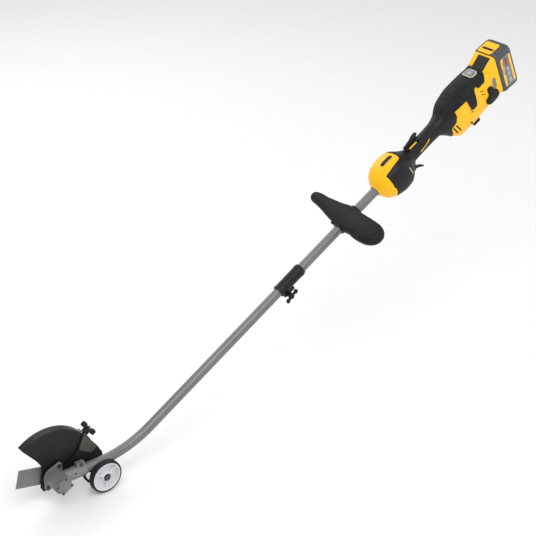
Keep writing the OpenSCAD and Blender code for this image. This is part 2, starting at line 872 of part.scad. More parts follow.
// Swinging arm: a ring round the gear case, a slotted tab over the guard and the axle boss
module wheel_arm() {
    slot_mid = stud_angle + 0.5;
    color(black) at_arbor() difference() {
        union() {
            y_rod(25.4, arm_y0, arm_y1);
            side_plate(arm_y0, arm_y1) polygon([
                on_arc(tab_r + 1.2, slot_mid + tab_half - 0.7), on_arc(tab_r + 1.2, slot_mid),
                on_arc(tab_r + 1.2, slot_mid - tab_half + 0.7),
                [134, 30], [146, 6], [axle_back + 16, -axle_drop], [axle_back + 6, -axle_drop - 14],
                [axle_back - 12, -axle_drop - 10], [70, -22], [8, -23], [14, 15], [30, 12], [72, 38],
            ]);
            // tab folded over the rim
            side_plate(arm_y0, stud_y + 8) polygon(concat(
                [for (i = [-4:4]) on_arc(tab_r + 2.6, slot_mid + tab_half * i / 4)],
                [for (i = [4:-1:-4]) on_arc(tab_r, slot_mid + tab_half * i / 4)]
            ));
            axle_spot() y_rod(9, -12, arm_y0);
            // scraper beside the tyre
            axle_spot() difference() {
                y_rod(41, 15, arm_y0 + 0.5);
                y_rod(35, 14, arm_y0 + 1);
                box(-60, 60, 0, 40, 6, 60);
                box(-12, 60, 0, 40, -60, 60);
            }
        }
        y_rod(21.05, arm_y0 - 1, arm_y1 + 1);
        axle_spot() y_rod(4, -13, arm_y1 - 1);
        for (a = [-depth_slot / 2, depth_slot / 2]) rotate([0, -slot_mid - a, 0])
            translate([tab_r - 2, stud_y, 0]) x_rod(3.3, 0, 8);
        side_plate(stud_y - 3.2, stud_y + 3.2) polygon(concat(
            [for (i = [-4:4]) on_arc(tab_r + 4, slot_mid + depth_slot * i / 8)],
            [for (i = [4:-1:-4]) on_arc(tab_r - 2, slot_mid + depth_slot * i / 8)]
        ));
    }
}

wheel_face = -30;
wheel_back = wheel_face + wheel_w;
module axle() {
    color(steel) at_arbor() axle_spot() {
        y_rod(4, wheel_face - 1, arm_y1 - 1);
        y_rod(8, wheel_face - 3, wheel_face - 1);
    }
}

hub_r = 39;
module wheel_hub() {
    color(white) at_arbor() axle_spot() {
        difference() {
            union() {
                y_tube(hub_r, hub_r - 4, wheel_face, wheel_back);
                y_rod(hub_r - 3.5, -20, -17);
                y_rod(12, wheel_face + 0.6, wheel_back + 0.6);
                for (a = [30:120:270]) rotate([0, a, 0]) box(8, hub_r - 3, wheel_face + 4, -18, -2.5, 2.5);
            }
            y_rod(4 + fit, wheel_face - 1, wheel_back + 2);
        }
    }
}

module tyre() {
    color(black) at_arbor() axle_spot() difference() {
        y_rod(wheel_r, wheel_face, wheel_back);
        y_rod(hub_r, wheel_face - 1, wheel_back + 1);
    }
}

motor_housing_left();
motor_housing_right();
shaft_socket();
stator();
motor_bearings();
motor_rotor();
cooling_fan();
upper_drive_shaft();
grip_left();
grip_right();
grip_saddle();
lock_off_lever();
speed_selector();
trigger_mount();
trigger();
trigger_spring();
trigger_switch();
rear_housing_left();
rear_housing_right();
top_overmold();
badge_plate();
side_bumpers();
rear_foot();
control_board();
housing_screws();
battery_receptacle();
terminal_block();
battery_case();
battery_cells();
battery_side_panels();
battery_button();
upper_tube();
handle_near_arm();
handle_far_arm();
handle_clamp();
handle_screws();
coupler_sleeve();
coupler_knob();
shaft_bushings();
lower_tube();
lower_drive_shaft();
flexible_cable();
pinion_shaft();
gear_case();
bearing_cap();
gear_case_screws();
bearings();
arbor();
bevel_gear();
blade_flanges();
blade();
blade_nut();
guard();
guard_screws();
depth_stud();
depth_knob();
wheel_arm();
axle();
wheel_hub();
tyre();
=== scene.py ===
"""Battery stick edger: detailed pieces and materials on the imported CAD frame, lit and framed."""

import bpy
import json
import math
from bisect import bisect_right
from mathutils import Matrix, Vector


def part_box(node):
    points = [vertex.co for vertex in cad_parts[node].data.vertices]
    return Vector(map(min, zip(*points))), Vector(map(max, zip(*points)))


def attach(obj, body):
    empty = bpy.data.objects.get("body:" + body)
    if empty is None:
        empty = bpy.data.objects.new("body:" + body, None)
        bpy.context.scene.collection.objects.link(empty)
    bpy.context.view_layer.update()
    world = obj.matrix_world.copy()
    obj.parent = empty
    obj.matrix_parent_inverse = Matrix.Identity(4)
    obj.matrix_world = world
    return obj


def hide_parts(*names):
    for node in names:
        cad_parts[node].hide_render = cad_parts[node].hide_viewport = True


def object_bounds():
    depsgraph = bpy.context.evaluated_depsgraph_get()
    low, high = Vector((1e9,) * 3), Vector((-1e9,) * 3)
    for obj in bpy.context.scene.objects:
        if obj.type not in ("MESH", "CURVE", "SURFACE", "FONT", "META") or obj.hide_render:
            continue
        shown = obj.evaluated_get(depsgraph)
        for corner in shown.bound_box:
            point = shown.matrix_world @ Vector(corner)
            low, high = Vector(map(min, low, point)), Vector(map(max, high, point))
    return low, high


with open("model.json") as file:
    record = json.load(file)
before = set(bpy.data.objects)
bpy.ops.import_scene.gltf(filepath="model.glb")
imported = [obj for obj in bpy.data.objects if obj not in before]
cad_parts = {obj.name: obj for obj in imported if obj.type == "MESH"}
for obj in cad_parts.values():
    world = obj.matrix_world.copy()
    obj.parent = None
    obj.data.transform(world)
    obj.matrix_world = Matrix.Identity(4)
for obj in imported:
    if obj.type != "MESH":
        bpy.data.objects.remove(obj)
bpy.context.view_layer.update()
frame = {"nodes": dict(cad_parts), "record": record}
NODES = frame["nodes"]
RECORD = frame["record"]
BODY_OF = {n: b for b, members in RECORD["behaviour"]["bodies"].items() for n in members}
SLOT_OF = {s["node"]: s["material_slot"] for s in RECORD["subparts"]}

MM = 0.001
SLOPE = math.radians(30)          # slope of the shaft
BATTERY_TILT = math.radians(6)
BATTERY_AT = 283                  # shaft station of the battery's front face
LEFT, RIGHT = -1, 1               # the operator's left side is -Y

arbor_lo, arbor_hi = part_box("arbor")
HEAD = Vector(((arbor_lo.x + arbor_hi.x) / 2, 0, (arbor_lo.z + arbor_hi.z) / 2))


# ---------- places ----------

def on_shaft(s, y, n):
    """A point s along the shaft, y across it and n above it, all in millimetres."""
    c, sn = math.cos(SLOPE), math.sin(SLOPE)
    return Vector((s * c - n * sn, y, s * sn + n * c)) * MM


def on_battery(x, y, z):
    c, sn = math.cos(BATTERY_TILT), math.sin(BATTERY_TILT)
    return on_shaft(BATTERY_AT + x * c + z * sn, y, -x * sn + z * c)


def at_head(x, y, z):
    return HEAD + Vector((x, y, z)) * MM


def smooth(t):
    t = min(max(t, 0.0), 1.0)
    return t * t * (3 - 2 * t)


def through(points, x):
    """A smooth curve through [x, value...] points that never overshoots them."""
    xs = [p[0] for p in points]
    x = min(max(x, xs[0]), xs[-1])
    i = min(bisect_right(xs, x) - 1, len(xs) - 2)
    step = xs[i + 1] - xs[i]
    t = (x - xs[i]) / step

    def slope(k, j):
        if k <= 0 or k >= len(points) - 1:
            return 0.0
        before = (points[k][j] - points[k - 1][j]) / (xs[k] - xs[k - 1])
        after = (points[k + 1][j] - points[k][j]) / (xs[k + 1] - xs[k])
        return 0.0 if before * after <= 0 else 2 * before * after / (before + after)

    out = []
    for j in range(1, len(points[0])):
        a, b = points[i][j], points[i + 1][j]
        ma, mb = slope(i, j) * step, slope(i + 1, j) * step
        out.append((2 * t**3 - 3 * t**2 + 1) * a + (t**3 - 2 * t**2 + t) * ma
                   + (3 * t**2 - 2 * t**3) * b + (t**3 - t**2) * mb)
    return out


def closed_curve(points, per_side=8):
    """A rounded closed line through the points."""
    n, out = len(points), []
    for i in range(n):
        p0, p1, p2, p3 = (Vector(points[(i + k - 1) % n]) for k in range(4))
        for j in range(per_side):
            t = j / per_side
            out.append(0.5 * (2 * p1 + (p2 - p0) * t + (2 * p0 - 5 * p1 + 4 * p2 - p3) * t**2
                              + (3 * p1 - p0 - 3 * p2 + p3) * t**3))
    return out


def rounded_box(half_x, half_y, radius, steps=6):
    """The outline of a rectangle with round corners."""
    out = []
    for k, (sx, sy) in enumerate(((1, 1), (-1, 1), (-1, -1), (1, -1))):
        for i in range(steps + 1):
            a = math.radians(90 * (k + i / steps))
            out.append(Vector((sx * (half_x - radius) + radius * math.cos(a),
                               sy * (half_y - radius) + radius * math.sin(a))))
    return out


# ---------- materials ----------

def material(name, colour, rough, metal=0.0, blotch=0.05, blotch_scale=14.0, grain=0.15,
             grain_scale=2200.0, coat=0.0, streak=None, rough_vary=0.08, dust=None,
             shine=0.5):
    """A procedural finish: slow colour change, surface grain, and streaks where metal is drawn or brushed."""
    m = bpy.data.materials.new(name)
    m.use_nodes = True
    nodes, links = m.node_tree.nodes, m.node_tree.links
    shader = nodes["Principled BSDF"]
    shader.inputs["Metallic"].default_value = metal
    shader.inputs["Coat Weight"].default_value = coat
    shader.inputs["Specular IOR Level"].default_value = shine
    shader.inputs["Coat Roughness"].default_value = 0.25
    place = nodes.new("ShaderNodeTexCoord")

    def noise(scale, detail, stretch=None):
        tex = nodes.new("ShaderNodeTexNoise")
        tex.inputs["Scale"].default_value = scale
        tex.inputs["Detail"].default_value = detail
        if stretch:
            mapping = nodes.new("ShaderNodeMapping")
            mapping.inputs["Rotation"].default_value = (0, SLOPE, 0)
            mapping.inputs["Scale"].default_value = stretch
            links.new(place.outputs["Object"], mapping.inputs["Vector"])
            links.new(mapping.outputs["Vector"], tex.inputs["Vector"])
        else:
            links.new(place.outputs["Object"], tex.inputs["Vector"])
        return tex.outputs["Fac"]

    slow = noise(blotch_scale, 4.0)
    ramp = nodes.new("ShaderNodeValToRGB")
    low = [max(c * (1 - blotch * 2), 0) for c in colour]
    high = [min(c * (1 + blotch * 2), 1) for c in colour]
    ramp.color_ramp.elements[0].position, ramp.color_ramp.elements[0].color = 0.3, (*low, 1)
    ramp.color_ramp.elements[1].position, ramp.color_ramp.elements[1].color = 0.7, (*high, 1)
    links.new(slow, ramp.inputs["Fac"])
    colour_out = ramp.outputs["Color"]
    if dust:
        worn = noise(90.0, 6.0)
        mask = nodes.new("ShaderNodeMapRange")
        mask.inputs["From Min"].default_value, mask.inputs["From Max"].default_value = 0.56, 0.74
        mask.inputs["To Max"].default_value = dust[3]
        links.new(worn, mask.inputs["Value"])
        mix = nodes.new("ShaderNodeMix")
        mix.data_type = "RGBA"
        links.new(mask.outputs["Result"], mix.inputs["Factor"])
        links.new(colour_out, mix.inputs[6])
        mix.inputs[7].default_value = (*dust[:3], 1)
        colour_out = mix.outputs[2]
    links.new(colour_out, shader.inputs["Base Color"])
    spread = nodes.new("ShaderNodeMapRange")
    spread.inputs["To Min"].default_value = max(rough - rough_vary, 0.05)
    spread.inputs["To Max"].default_value = min(rough + rough_vary, 1)
    fine = noise(grain_scale, 2.0, streak)
    links.new(noise(60.0, 3.0, streak), spread.inputs["Value"])
    links.new(spread.outputs["Result"], shader.inputs["Roughness"])
    bump = nodes.new("ShaderNodeBump")
    bump.inputs["Strength"].default_value = grain
    bump.inputs["Distance"].default_value = 0.0003
    links.new(fine, bump.inputs["Height"])
    links.new(bump.outputs["Normal"], shader.inputs["Normal"])
    return m


ALONG_SHAFT = (0.03, 1.0, 1.0)
YELLOW = material("yellow_moulding", (1.0, 0.49, 0.0), 0.36, blotch=0.015, grain=0.12, shine=0.35)
BLACK = material("black_moulding", (0.0085, 0.0085, 0.0095), 0.46, blotch=0.10, grain=0.35,
                 dust=(0.022, 0.022, 0.024, 0.35), shine=0.26)
RUBBER = material("black_soft_grip", (0.0075, 0.0075, 0.0085), 0.58, blotch=0.12, grain=0.6,
                  grain_scale=1500.0, dust=(0.02, 0.02, 0.022, 0.4), shine=0.24)
TUBE = material("grey_painted_tube", (0.165, 0.165, 0.172), 0.42, metal=0.35, blotch=0.03, grain=0.12,
                streak=ALONG_SHAFT, coat=0.1)
CAST = material("grey_cast_metal", (0.185, 0.188, 0.190), 0.52, metal=0.35, blotch=0.06, grain=0.5,
                grain_scale=1300.0, dust=(0.30, 0.30, 0.30, 0.25))
BLADE = material("ground_blade_steel", (0.20, 0.20, 0.21), 0.42, metal=0.6, blotch=0.06, grain=0.3,
                 streak=(0.04, 1.0, 1.0), grain_scale=1800.0)
STEEL = material("bright_steel", (0.48, 0.48, 0.50), 0.28, metal=0.95, blotch=0.04, grain=0.1)
DARK_STEEL = material("blackened_steel", (0.07, 0.07, 0.075), 0.40, metal=0.7, blotch=0.08, grain=0.2)
CASE = material("battery_grey", (0.052, 0.059, 0.070), 0.46, blotch=0.06, grain=0.35)
PANEL = material("panel_grey", (0.16, 0.17, 0.19), 0.35, blotch=0.05, grain=0.1, coat=0.2)
STRIPE = material("panel_yellow", (0.95, 0.50, 0.01), 0.35, blotch=0.03, grain=0.08, coat=0.2)
RED = material("panel_red", (0.30, 0.035, 0.03), 0.35, blotch=0.05, grain=0.08, coat=0.2)
PALE = material("panel_pale", (0.34, 0.35, 0.38), 0.35, blotch=0.04, grain=0.08, coat=0.2)
CREAM = material("cream_trim", (0.66, 0.58, 0.36), 0.38, blotch=0.04, grain=0.1)
BADGE = material("badge_silver", (0.20, 0.20, 0.235), 0.36, metal=0.3, blotch=0.06, grain=0.12)
# painted shade: a near-black sheet laid where vents, slits, wells, pockets and holes would be dark with shade
SLOT_PAINTED_SHADE = material("vent_shadow", (0.006, 0.006, 0.007), 0.7, blotch=0.15, grain=0.4)
WHITE = material("white_hub", (0.60, 0.60, 0.63), 0.36, blotch=0.03, grain=0.15)
TYRE = material("tyre_rubber", (0.011, 0.011, 0.012), 0.66, blotch=0.12, grain=0.7, grain_scale=1400.0,
                dust=(0.035, 0.034, 0.03, 0.45), shine=0.25)
# painted highlight: an olive lighter than the black arm, for the light falling on the arm's face
OLIVE_PAINTED_HIGHLIGHT = material("arm_face_painted_highlight", (0.068, 0.068, 0.058), 0.44, metal=0.25, blotch=0.08, grain=0.3)
BRASS = material("gear_brass", (0.45, 0.32, 0.12), 0.35, metal=0.9, blotch=0.06, grain=0.15)
COPPER = material("copper", (0.50, 0.20, 0.08), 0.35, metal=0.9, blotch=0.08, grain=0.3)
BOARD = material("board_green", (0.01, 0.09, 0.035), 0.4, blotch=0.1, grain=0.2)
BUSH = material("bush_white", (0.62, 0.62, 0.60), 0.5, blotch=0.04, grain=0.15)

FINISH = {
    "yellow_shell": YELLOW, "black_shell": BLACK, "soft_grip": RUBBER, "tube_grey": TUBE,
    "cast_grey": CAST, "blade_steel": BLADE, "bright_steel": STEEL, "battery_grey": CASE,
    "panel_print": PANEL, "badge": BADGE, "wheel_white": WHITE, "tyre": TYRE, "gear_brass": BRASS,
    "copper": COPPER, "board": BOARD, "cell": STEEL, "bush_white": BUSH,
}
for node_name, node_object in NODES.items():
    node_object.data.materials.clear()
    node_object.data.materials.append(FINISH[SLOT_OF[node_name]])


# ---------- meshes ----------

def piece(name, verts, faces, finish, like, replaces=(), crease=32):
    """A mesh that rides with the CAD node it is like, and stands for the nodes it replaces."""
    mesh = bpy.data.meshes.new(name)
    mesh.from_pydata([tuple(v) for v in verts], [], faces)
    mesh.validate()
    mesh.shade_smooth()
    mesh.set_sharp_from_angle(angle=math.radians(crease))
    mesh.materials.append(finish)
    made = bpy.data.objects.new(name, mesh)
    bpy.context.scene.collection.objects.link(made)
    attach(made, BODY_OF[like])
    if replaces:
        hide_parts(*replaces)
    return made


def facing_out(verts, faces):
    """The faces turned so that a closed mesh has its normals outward."""
    volume = 0.0
    for f in faces:
        for i in range(1, len(f) - 1):
            volume += verts[f[0]].dot(verts[f[i]].cross(verts[f[i + 1]]))
    return faces if volume > 0 else [tuple(reversed(f)) for f in faces]


def tube_of(rings):
    """Quads between closed rings of points, with caps on both ends."""
    n = len(rings[0])
    verts = [v for r in rings for v in r]
    faces = [(j * n + i, j * n + (i + 1) % n, (j + 1) * n + (i + 1) % n, (j + 1) * n + i)
             for j in range(len(rings) - 1) for i in range(n)]
    faces += [tuple(reversed(range(n))), tuple((len(rings) - 1) * n + i for i in range(n))]
    return verts, facing_out(verts, faces)


def ring_body(rings):
    """As tube_of, with the last ring joined back to the first."""
    n, m = len(rings[0]), len(rings)
    verts = [v for r in rings for v in r]
    faces = [(j * n + i, j * n + (i + 1) % n, (j + 1) % m * n + (i + 1) % n, (j + 1) % m * n + i)
             for j in range(m) for i in range(n)]
    return verts, facing_out(verts, faces)


def slab(outer, inner):
    """A closed wall between two grids of points of the same size."""
    rows, cols = len(outer), len(outer[0])
    verts = [v for r in outer for v in r] + [v for r in inner for v in r]
    half = rows * cols

    def at(i, j, side):
        return side * half + i * cols + j

    faces = []
    for i in range(rows - 1):
        for j in range(cols - 1):
            faces.append((at(i, j, 0), at(i, j + 1, 0), at(i + 1, j + 1, 0), at(i + 1, j, 0)))
            faces.append((at(i, j, 1), at(i + 1, j, 1), at(i + 1, j + 1, 1), at(i, j + 1, 1)))
    for i in range(rows - 1):
        for j in (0, cols - 1):
            end = (at(i, j, 0), at(i + 1, j, 0), at(i + 1, j, 1), at(i, j, 1))
            faces.append(end if j == 0 else end[::-1])
    for j in range(cols - 1):
        for i in (0, rows - 1):
            end = (at(i, j, 1), at(i, j + 1, 1), at(i, j + 1, 0), at(i, j, 0))
            faces.append(end if i == 0 else end[::-1])
    return verts, facing_out(verts, faces)


def joined(parts):
    """Several closed meshes as one."""
    verts, faces = [], []
    for v, f in parts:
        base = len(verts)
        verts += v
        faces += [tuple(i + base for i in face) for face in f]
    return verts, faces


def divided(outline, step=3.0):
    """The outline with its long edges cut up, so that it can follow a curved surface."""
    out = []
    for i, p in enumerate(outline):
        q = outline[(i + 1) % len(outline)]
        parts = max(int((q - p).length / step), 1)
        out += [p + (q - p) * (k / parts) for k in range(parts)]
    return out


def raised(outline, place, profile):
    """A patch that follows a surface: rings step inward from the outline, each (inset, height) in mm."""
    outline = divided(outline)
    centre = sum(outline, Vector((0, 0))) / len(outline)

    def drawn_in(p, inset):
        away = p - centre
        return centre + away * max(1 - inset / max(away.length, 0.01), 0.02)

    rings = [[place(*drawn_in(p, inset), height) for p in outline] for inset, height in profile]
    last_inset, last_height = profile[-1]
    inner = [drawn_in(p, last_inset) for p in outline]
    for share in (0.75, 0.5, 0.25, 0.06):
        rings.append([place(*(centre + (p - centre) * share), last_height) for p in inner])
    return tube_of(rings)


# ---------- power head surface ----------
# Each section is [station, half width, height above, depth below, squareness].

HEAD_SECTIONS = [
    [-203, 16, 16, 16, 2.2], [-196, 25, 24, 25, 2.3], [-181, 41, 39, 42, 2.6], [-158, 49, 47, 49, 2.8],
    [-131, 52, 50, 53, 2.8], [-110, 50, 48, 52, 2.8], [-96, 46, 43, 48, 2.4], [-84, 37, 33, 40, 2.3],
    [-72, 27, 25, 30, 2.2], [-60, 21, 21, 22, 2.1], [0, 20.5, 20.5, 20.5, 2.1], [40, 21, 22, 22, 2.1],
    [62, 25, 26, 39, 2.3], [84, 31, 34, 64, 2.6], [110, 36, 43.5, 80, 2.9], [150, 37, 52, 80, 3.1],
    [195, 37, 51, 76, 3.2], [232, 37, 48, 70, 3.2], [262, 37, 50, 66, 3.4], [283, 37, 50, 66, 3.4],
]


def skin_point(s, angle, h=0.0):
    """A point on the power head; the angle runs from +Y over the top to -Y and round below, in degrees."""
    w, top, bottom, e = through(HEAD_SECTIONS, s)
    c, sn = math.cos(math.radians(angle)), math.sin(math.radians(angle))
    y = (w + h) * math.copysign(abs(c) ** (2 / e), c)
    n = ((top if sn >= 0 else bottom) + h) * math.copysign(abs(sn) ** (2 / e), sn)
    return on_shaft(s, y, n)


def side_point(side):
    """Places (station, height) on the near or far side of the power head."""
    def place(s, n, h):
        w, top, bottom, e = through(HEAD_SECTIONS, s)
        reach = top if n >= 0 else bottom
        share = min(abs(n) / reach, 0.995)
        grown = n * (reach + h * share) / reach
        return on_shaft(s, side * (w + h) * (1 - share**e) ** (1 / e), grown)
    return place


def top_point(s, y, h):
    w, top, bottom, e = through(HEAD_SECTIONS, s)
    share = min(abs(y) / w, 0.995)
    return on_shaft(s, y, (top + h) * (1 - share**e) ** (1 / e))


def angle_at(s, n):
    """The angle on the near side at a height above the shaft axis."""
    w, top, bottom, e = through(HEAD_SECTIONS, s)
    reach = top if n >= 0 else bottom
    share = min(abs(n) / reach, 1.0) ** (e / 2)
    return 180 - math.degrees(math.asin(math.copysign(share, n)))


def mirrored(angle):
    return 180 - angle


WALL = 2.6
EDGE = 1.1


def edge_drop(distance):
    """How far a moulded edge falls away at a distance from it."""
    t = min(max(distance / EDGE, 0.0), 1.0)
    return -EDGE * (1 - math.sqrt(1 - (1 - t) ** 2))


def shell(name, start, end, side, finish, nodes, proud=0.0, rows=40, cols=72, open_start=False,
          bump_at=None):
    """Half of a housing, from station start(angle) to end(angle), with rounded edges and a parting line."""
    a0, a1 = (90.0, 270.0) if side == LEFT else (-90.0, 90.0)
    near = [0.0, 0.15, 0.4, 0.8, EDGE]
    outer, inner = [], []
    grid_a = [a0 + (a1 - a0) * j / cols for j in range(cols + 1)]

    def stations(b, e):
        length = e - b
        head = [b + d for d in near]
        tail = [e - d for d in reversed(near)]
        body = [b + EDGE + (length - 2 * EDGE) * i / rows for i in range(1, rows)]
        return head + body + tail

    per_angle = []
    for a in grid_a:
        on_left = a if side == LEFT else mirrored(a)
        per_angle.append(stations(start(on_left), end(on_left)))
    for i in range(len(per_angle[0])):
        row_o, row_i = [], []
        for j, a in enumerate(grid_a):
            s = per_angle[j][i]
            b, e = per_angle[j][0], per_angle[j][-1]
            seam = min(abs(a - a0), abs(a1 - a)) * 0.6
            h = proud + edge_drop(min(EDGE if open_start else s - b, e - s)) + 0.55 * edge_drop(seam)
            if bump_at:
                h += bump_at(s, a if side == LEFT else mirrored(a))
            row_o.append(skin_point(s, a, h))
            row_i.append(skin_point(s, a, -WALL))
        outer.append(row_o)
        inner.append(row_i)
    return piece(name, *slab(outer, inner), finish, nodes[0], nodes, crease=50)


def motor_edge(angle, step_from=110):
    """Where the yellow motor housing gives way to the black one: a tongue on top, a notch below it."""
    back = -100
    side = -165
    if angle <= 180:
        step = smooth((angle - step_from) / 14)
        return back + (side - back) * step - 3 * smooth((angle - 96) / 12)
    return side - 3 * smooth((angle - 195) / 20) + 10 * smooth((angle - 232) / 20)


def rear_edge(angle):
    """Where the black grip shells give way to the yellow rear housing."""
    return 106 - 27 * smooth((angle - 176) / 20)


def nose(angle):
    return -203.0


def tail(angle):
    return 281.0


def nose_lumps(s, angle):
    """Three shallow swellings round the nose."""
    ring = math.exp(-((s + 190) / 6) ** 2)
    return 1.6 * ring * (0.5 + 0.5 * math.cos(math.radians(3 * angle)))


def far_motor_edge(angle):
    """On the far side the yellow tongue reaches lower."""
    return motor_edge(angle, 146)


GAP = 0.35
for side, tag, edge_at in ((LEFT, "left", motor_edge), (RIGHT, "right", far_motor_edge)):
    shell("motor_housing_" + tag + "_shell", nose, lambda a: edge_at(a) - GAP, side, YELLOW,
          ("motor_housing_" + tag,), open_start=True, bump_at=nose_lumps)
    shell("grip_" + tag + "_shell", edge_at, lambda a: rear_edge(a) - GAP, side, BLACK,
          ("grip_" + tag,), proud=0.9, rows=90)
    shell("rear_housing_" + tag + "_shell", rear_edge, tail, side, YELLOW,
          ("rear_housing_" + tag,), rows=60)

# ---------- soft cover over the rear housing ----------

COVER_START, COVER_END = 62, 247


def cover_edge(s):
    """Height of the cover's lower edge: level, a lobe for the thumb, then a rise at the back."""
    off_middle = min(abs(s - 169) / 15.5, 1.0)
    lobe = 43 * math.sqrt(1 - off_middle**4)
    dip = 9 * smooth((s - 186) / 6) * (1 - smooth((s - 198) / 8))
    front = 8 * (1 - smooth((s - 62) / 40))
    rise = 20 * smooth((s - 226) / 20)
    return 23 - lobe + dip + rise - front


def cover_height(s, angle):
    """Thickness of the cover, with shallow cross ribs on top and a crease along each shoulder."""
    across = min(abs(angle - 90), 90) / 90
    fade = smooth((s - COVER_START) / 34)
    ribs = 0.55 * math.cos(2 * math.pi * s / 17) * smooth((s - 96) / 16) * (1 - smooth((s - 176) / 16))
    crease = 1.3 * math.exp(-((across - 0.47 + 0.0012 * (s - 90)) / 0.055) ** 2)
    return 4.4 * fade + 0.3 + (ribs * (1 - smooth((across - 0.2) / 0.2)) + crease) * fade


def cover():
    rows, cols = 150, 96
    outer, inner = [], []
    for i in range(rows + 1):
        s = COVER_START + (COVER_END - COVER_START) * i / rows
        low = angle_at(s, cover_edge(s))
        row_o, row_i = [], []
        for j in range(cols + 1):
            share = j / cols
            share = share - 0.11 * math.sin(2 * math.pi * share) / (2 * math.pi) * 3
            a = mirrored(low) + (low - mirrored(low)) * share
            end_gap = min(s - COVER_START + 4, COVER_END - s)
            side_gap = min(share, 1 - share) * abs(low - mirrored(low)) * 0.75
            h = cover_height(s, a)
            round_off = math.sqrt(min(min(end_gap, side_gap) / 3.2, 1.0))
            row_o.append(skin_point(s, a, max(h * (0.25 + 0.75 * round_off), 0.2)))
            row_i.append(skin_point(s, a, -0.6))
        outer.append(row_o)
        inner.append(row_i)
    return piece("top_overmold_cover", *slab(outer, inner), RUBBER, "top_overmold", ("top_overmold",),
                 crease=60)


cover()


# ---------- patches on the power head ----------

BUMPER = [(229, -4), (245, -6), (249, -20), (261, -33), (262, -50), (250, -60), (224, -58), (212, -44),
          (214, -33), (227, -26)]
for side, tag in ((LEFT, "left"), (RIGHT, "right")):
    shape = raised(closed_curve(BUMPER), side_point(side),
                   [(0, -1), (0, 2.0), (0.8, 4.2), (2.4, 6.0), (5, 7.2)])
    piece("side_bumper_" + tag, *shape, RUBBER, "side_bumpers",
          ("side_bumpers",) if side == LEFT else (), crease=60)


def capsule(a, b, half, steps=8):
    """A long rounded outline from a to b."""
    a, b = Vector(a), Vector(b)
    along = (b - a).normalized()
    across = Vector((-along[1], along[0]))
    out = []
    for end, sign in ((b, 1), (a, -1)):
        for i in range(steps + 1):
            t = math.radians(-90 + 180 * i / steps)
            out.append(end + (along * math.cos(t) + across * math.sin(t)) * half * sign)
    return out


def trim(name, outline, place, profile, finish, like="top_overmold"):
    return piece(name, *raised(outline, place, profile), finish, like, crease=55)


# the vents and slits below are painted shade: dark sheets where the openings would be in shade
# ends of the slots as (station, height), and half widths
VENT_HALF, SLIT_HALF = 2.1, 1.3
VENTS = [((84, -22), (92, -48)), ((94, -20), (103, -47))]
SLITS = [((153, -12), (161, -18)), ((153, -21), (161, -27)), ((206, 9), (214, 3)), ((207, -4), (215, -10))]
GRIP_LINE = [(-34, -2), (-34, 0.6), (-12, 3.6), (6, 8.6), (7, 7), (-10, 1.6)]
for side, tag in ((LEFT, "left"), (RIGHT, "right")):
    for k, (a, b) in enumerate(VENTS):
        trim("vent_%s_%d" % (tag, k), capsule(a, b, VENT_HALF), side_point(side),
             [(0, -1), (0, 0.35), (0.5, 0.45)], SLOT_PAINTED_SHADE, "rear_housing_left")
    for k, (a, b) in enumerate(SLITS):
        trim("slit_%s_%d" % (tag, k), capsule(a, b, SLIT_HALF), side_point(side),
             [(0, -1), (0, 0.4), (0.4, 0.5)], SLOT_PAINTED_SHADE, "rear_housing_left")
    trim("cream_accent_" + tag, capsule((-103, 15), (-101, -8), 1.3), side_point(side),
         [(0, -1), (0, 1.25), (0.4, 1.5)], CREAM, "grip_left")
    trim("grip_line_" + tag, closed_curve(GRIP_LINE), side_point(side),
         [(0, -1), (0, 1.15), (0.3, 1.3)], STRIPE, "grip_left")
    trim("side_oval_" + tag, capsule((261, 3), (257, -19), 6.2), side_point(side),
         [(0, -1), (0, 0.9), (0.7, 1.3), (1.4, 1.0)], PANEL, "rear_housing_left")
trim("motor_vent_rim", capsule((-147, 0), (-116, 0), 9), top_point,
     [(0, -1), (0, 0.3), (0.8, 0.9), (2.0, 0.9)], YELLOW, "motor_housing_left")
# the motor vent's dark centre is painted shade inside the opening
trim("motor_vent", capsule((-146, 0), (-117, 0), 6.6), top_point,
     [(0, 0), (0, 1.05), (0.4, 1.2), (1.2, 1.1)], SLOT_PAINTED_SHADE, "motor_housing_left")

# badge plate: a silver octagon in a cream frame
BADGE_OUTLINE = [Vector(p) for p in ((206, -14), (212, -20), (228, -20), (234, -14), (234, 14), (228, 20),
                                     (212, 20), (206, 14))]


def badge_place(lift):
    return lambda s, y, h: top_point(s, y, lift + h)


piece("badge_frame", *raised(BADGE_OUTLINE, badge_place(4.6), [(0, -1), (0, 0.9), (0.5, 1.3), (1.8, 1.3)]),
      CREAM, "badge_plate", ("badge_plate",), crease=30)
piece("badge_face", *raised(BADGE_OUTLINE, badge_place(5.0), [(2.6, -0.2), (2.6, 1.1), (3.0, 1.25)]),
      BADGE, "badge_plate", crease=30)
BADGE_RING = [(213, 0), (216.5, -6), (220, -8), (223.5, -6), (227, 0), (223.5, 6), (220, 8), (216.5, 6)]
piece("badge_ring", *raised(closed_curve(BADGE_RING), badge_place(5.4),
                            [(0, 0), (0, 1.2), (0.4, 1.35), (1.5, 1.35), (1.7, 0.9)]), PALE, "badge_plate")

# ---------- battery and its receptacle ----------

def battery_ring(half_y, top, bottom, radius, x):
    """A rounded rectangle across the battery's length at a depth x behind its front face."""
    mid, half_z = (top - bottom) / 2, (top + bottom) / 2
    return [on_battery(x, p[0], mid + p[1]) for p in rounded_box(half_y, half_z, radius)]


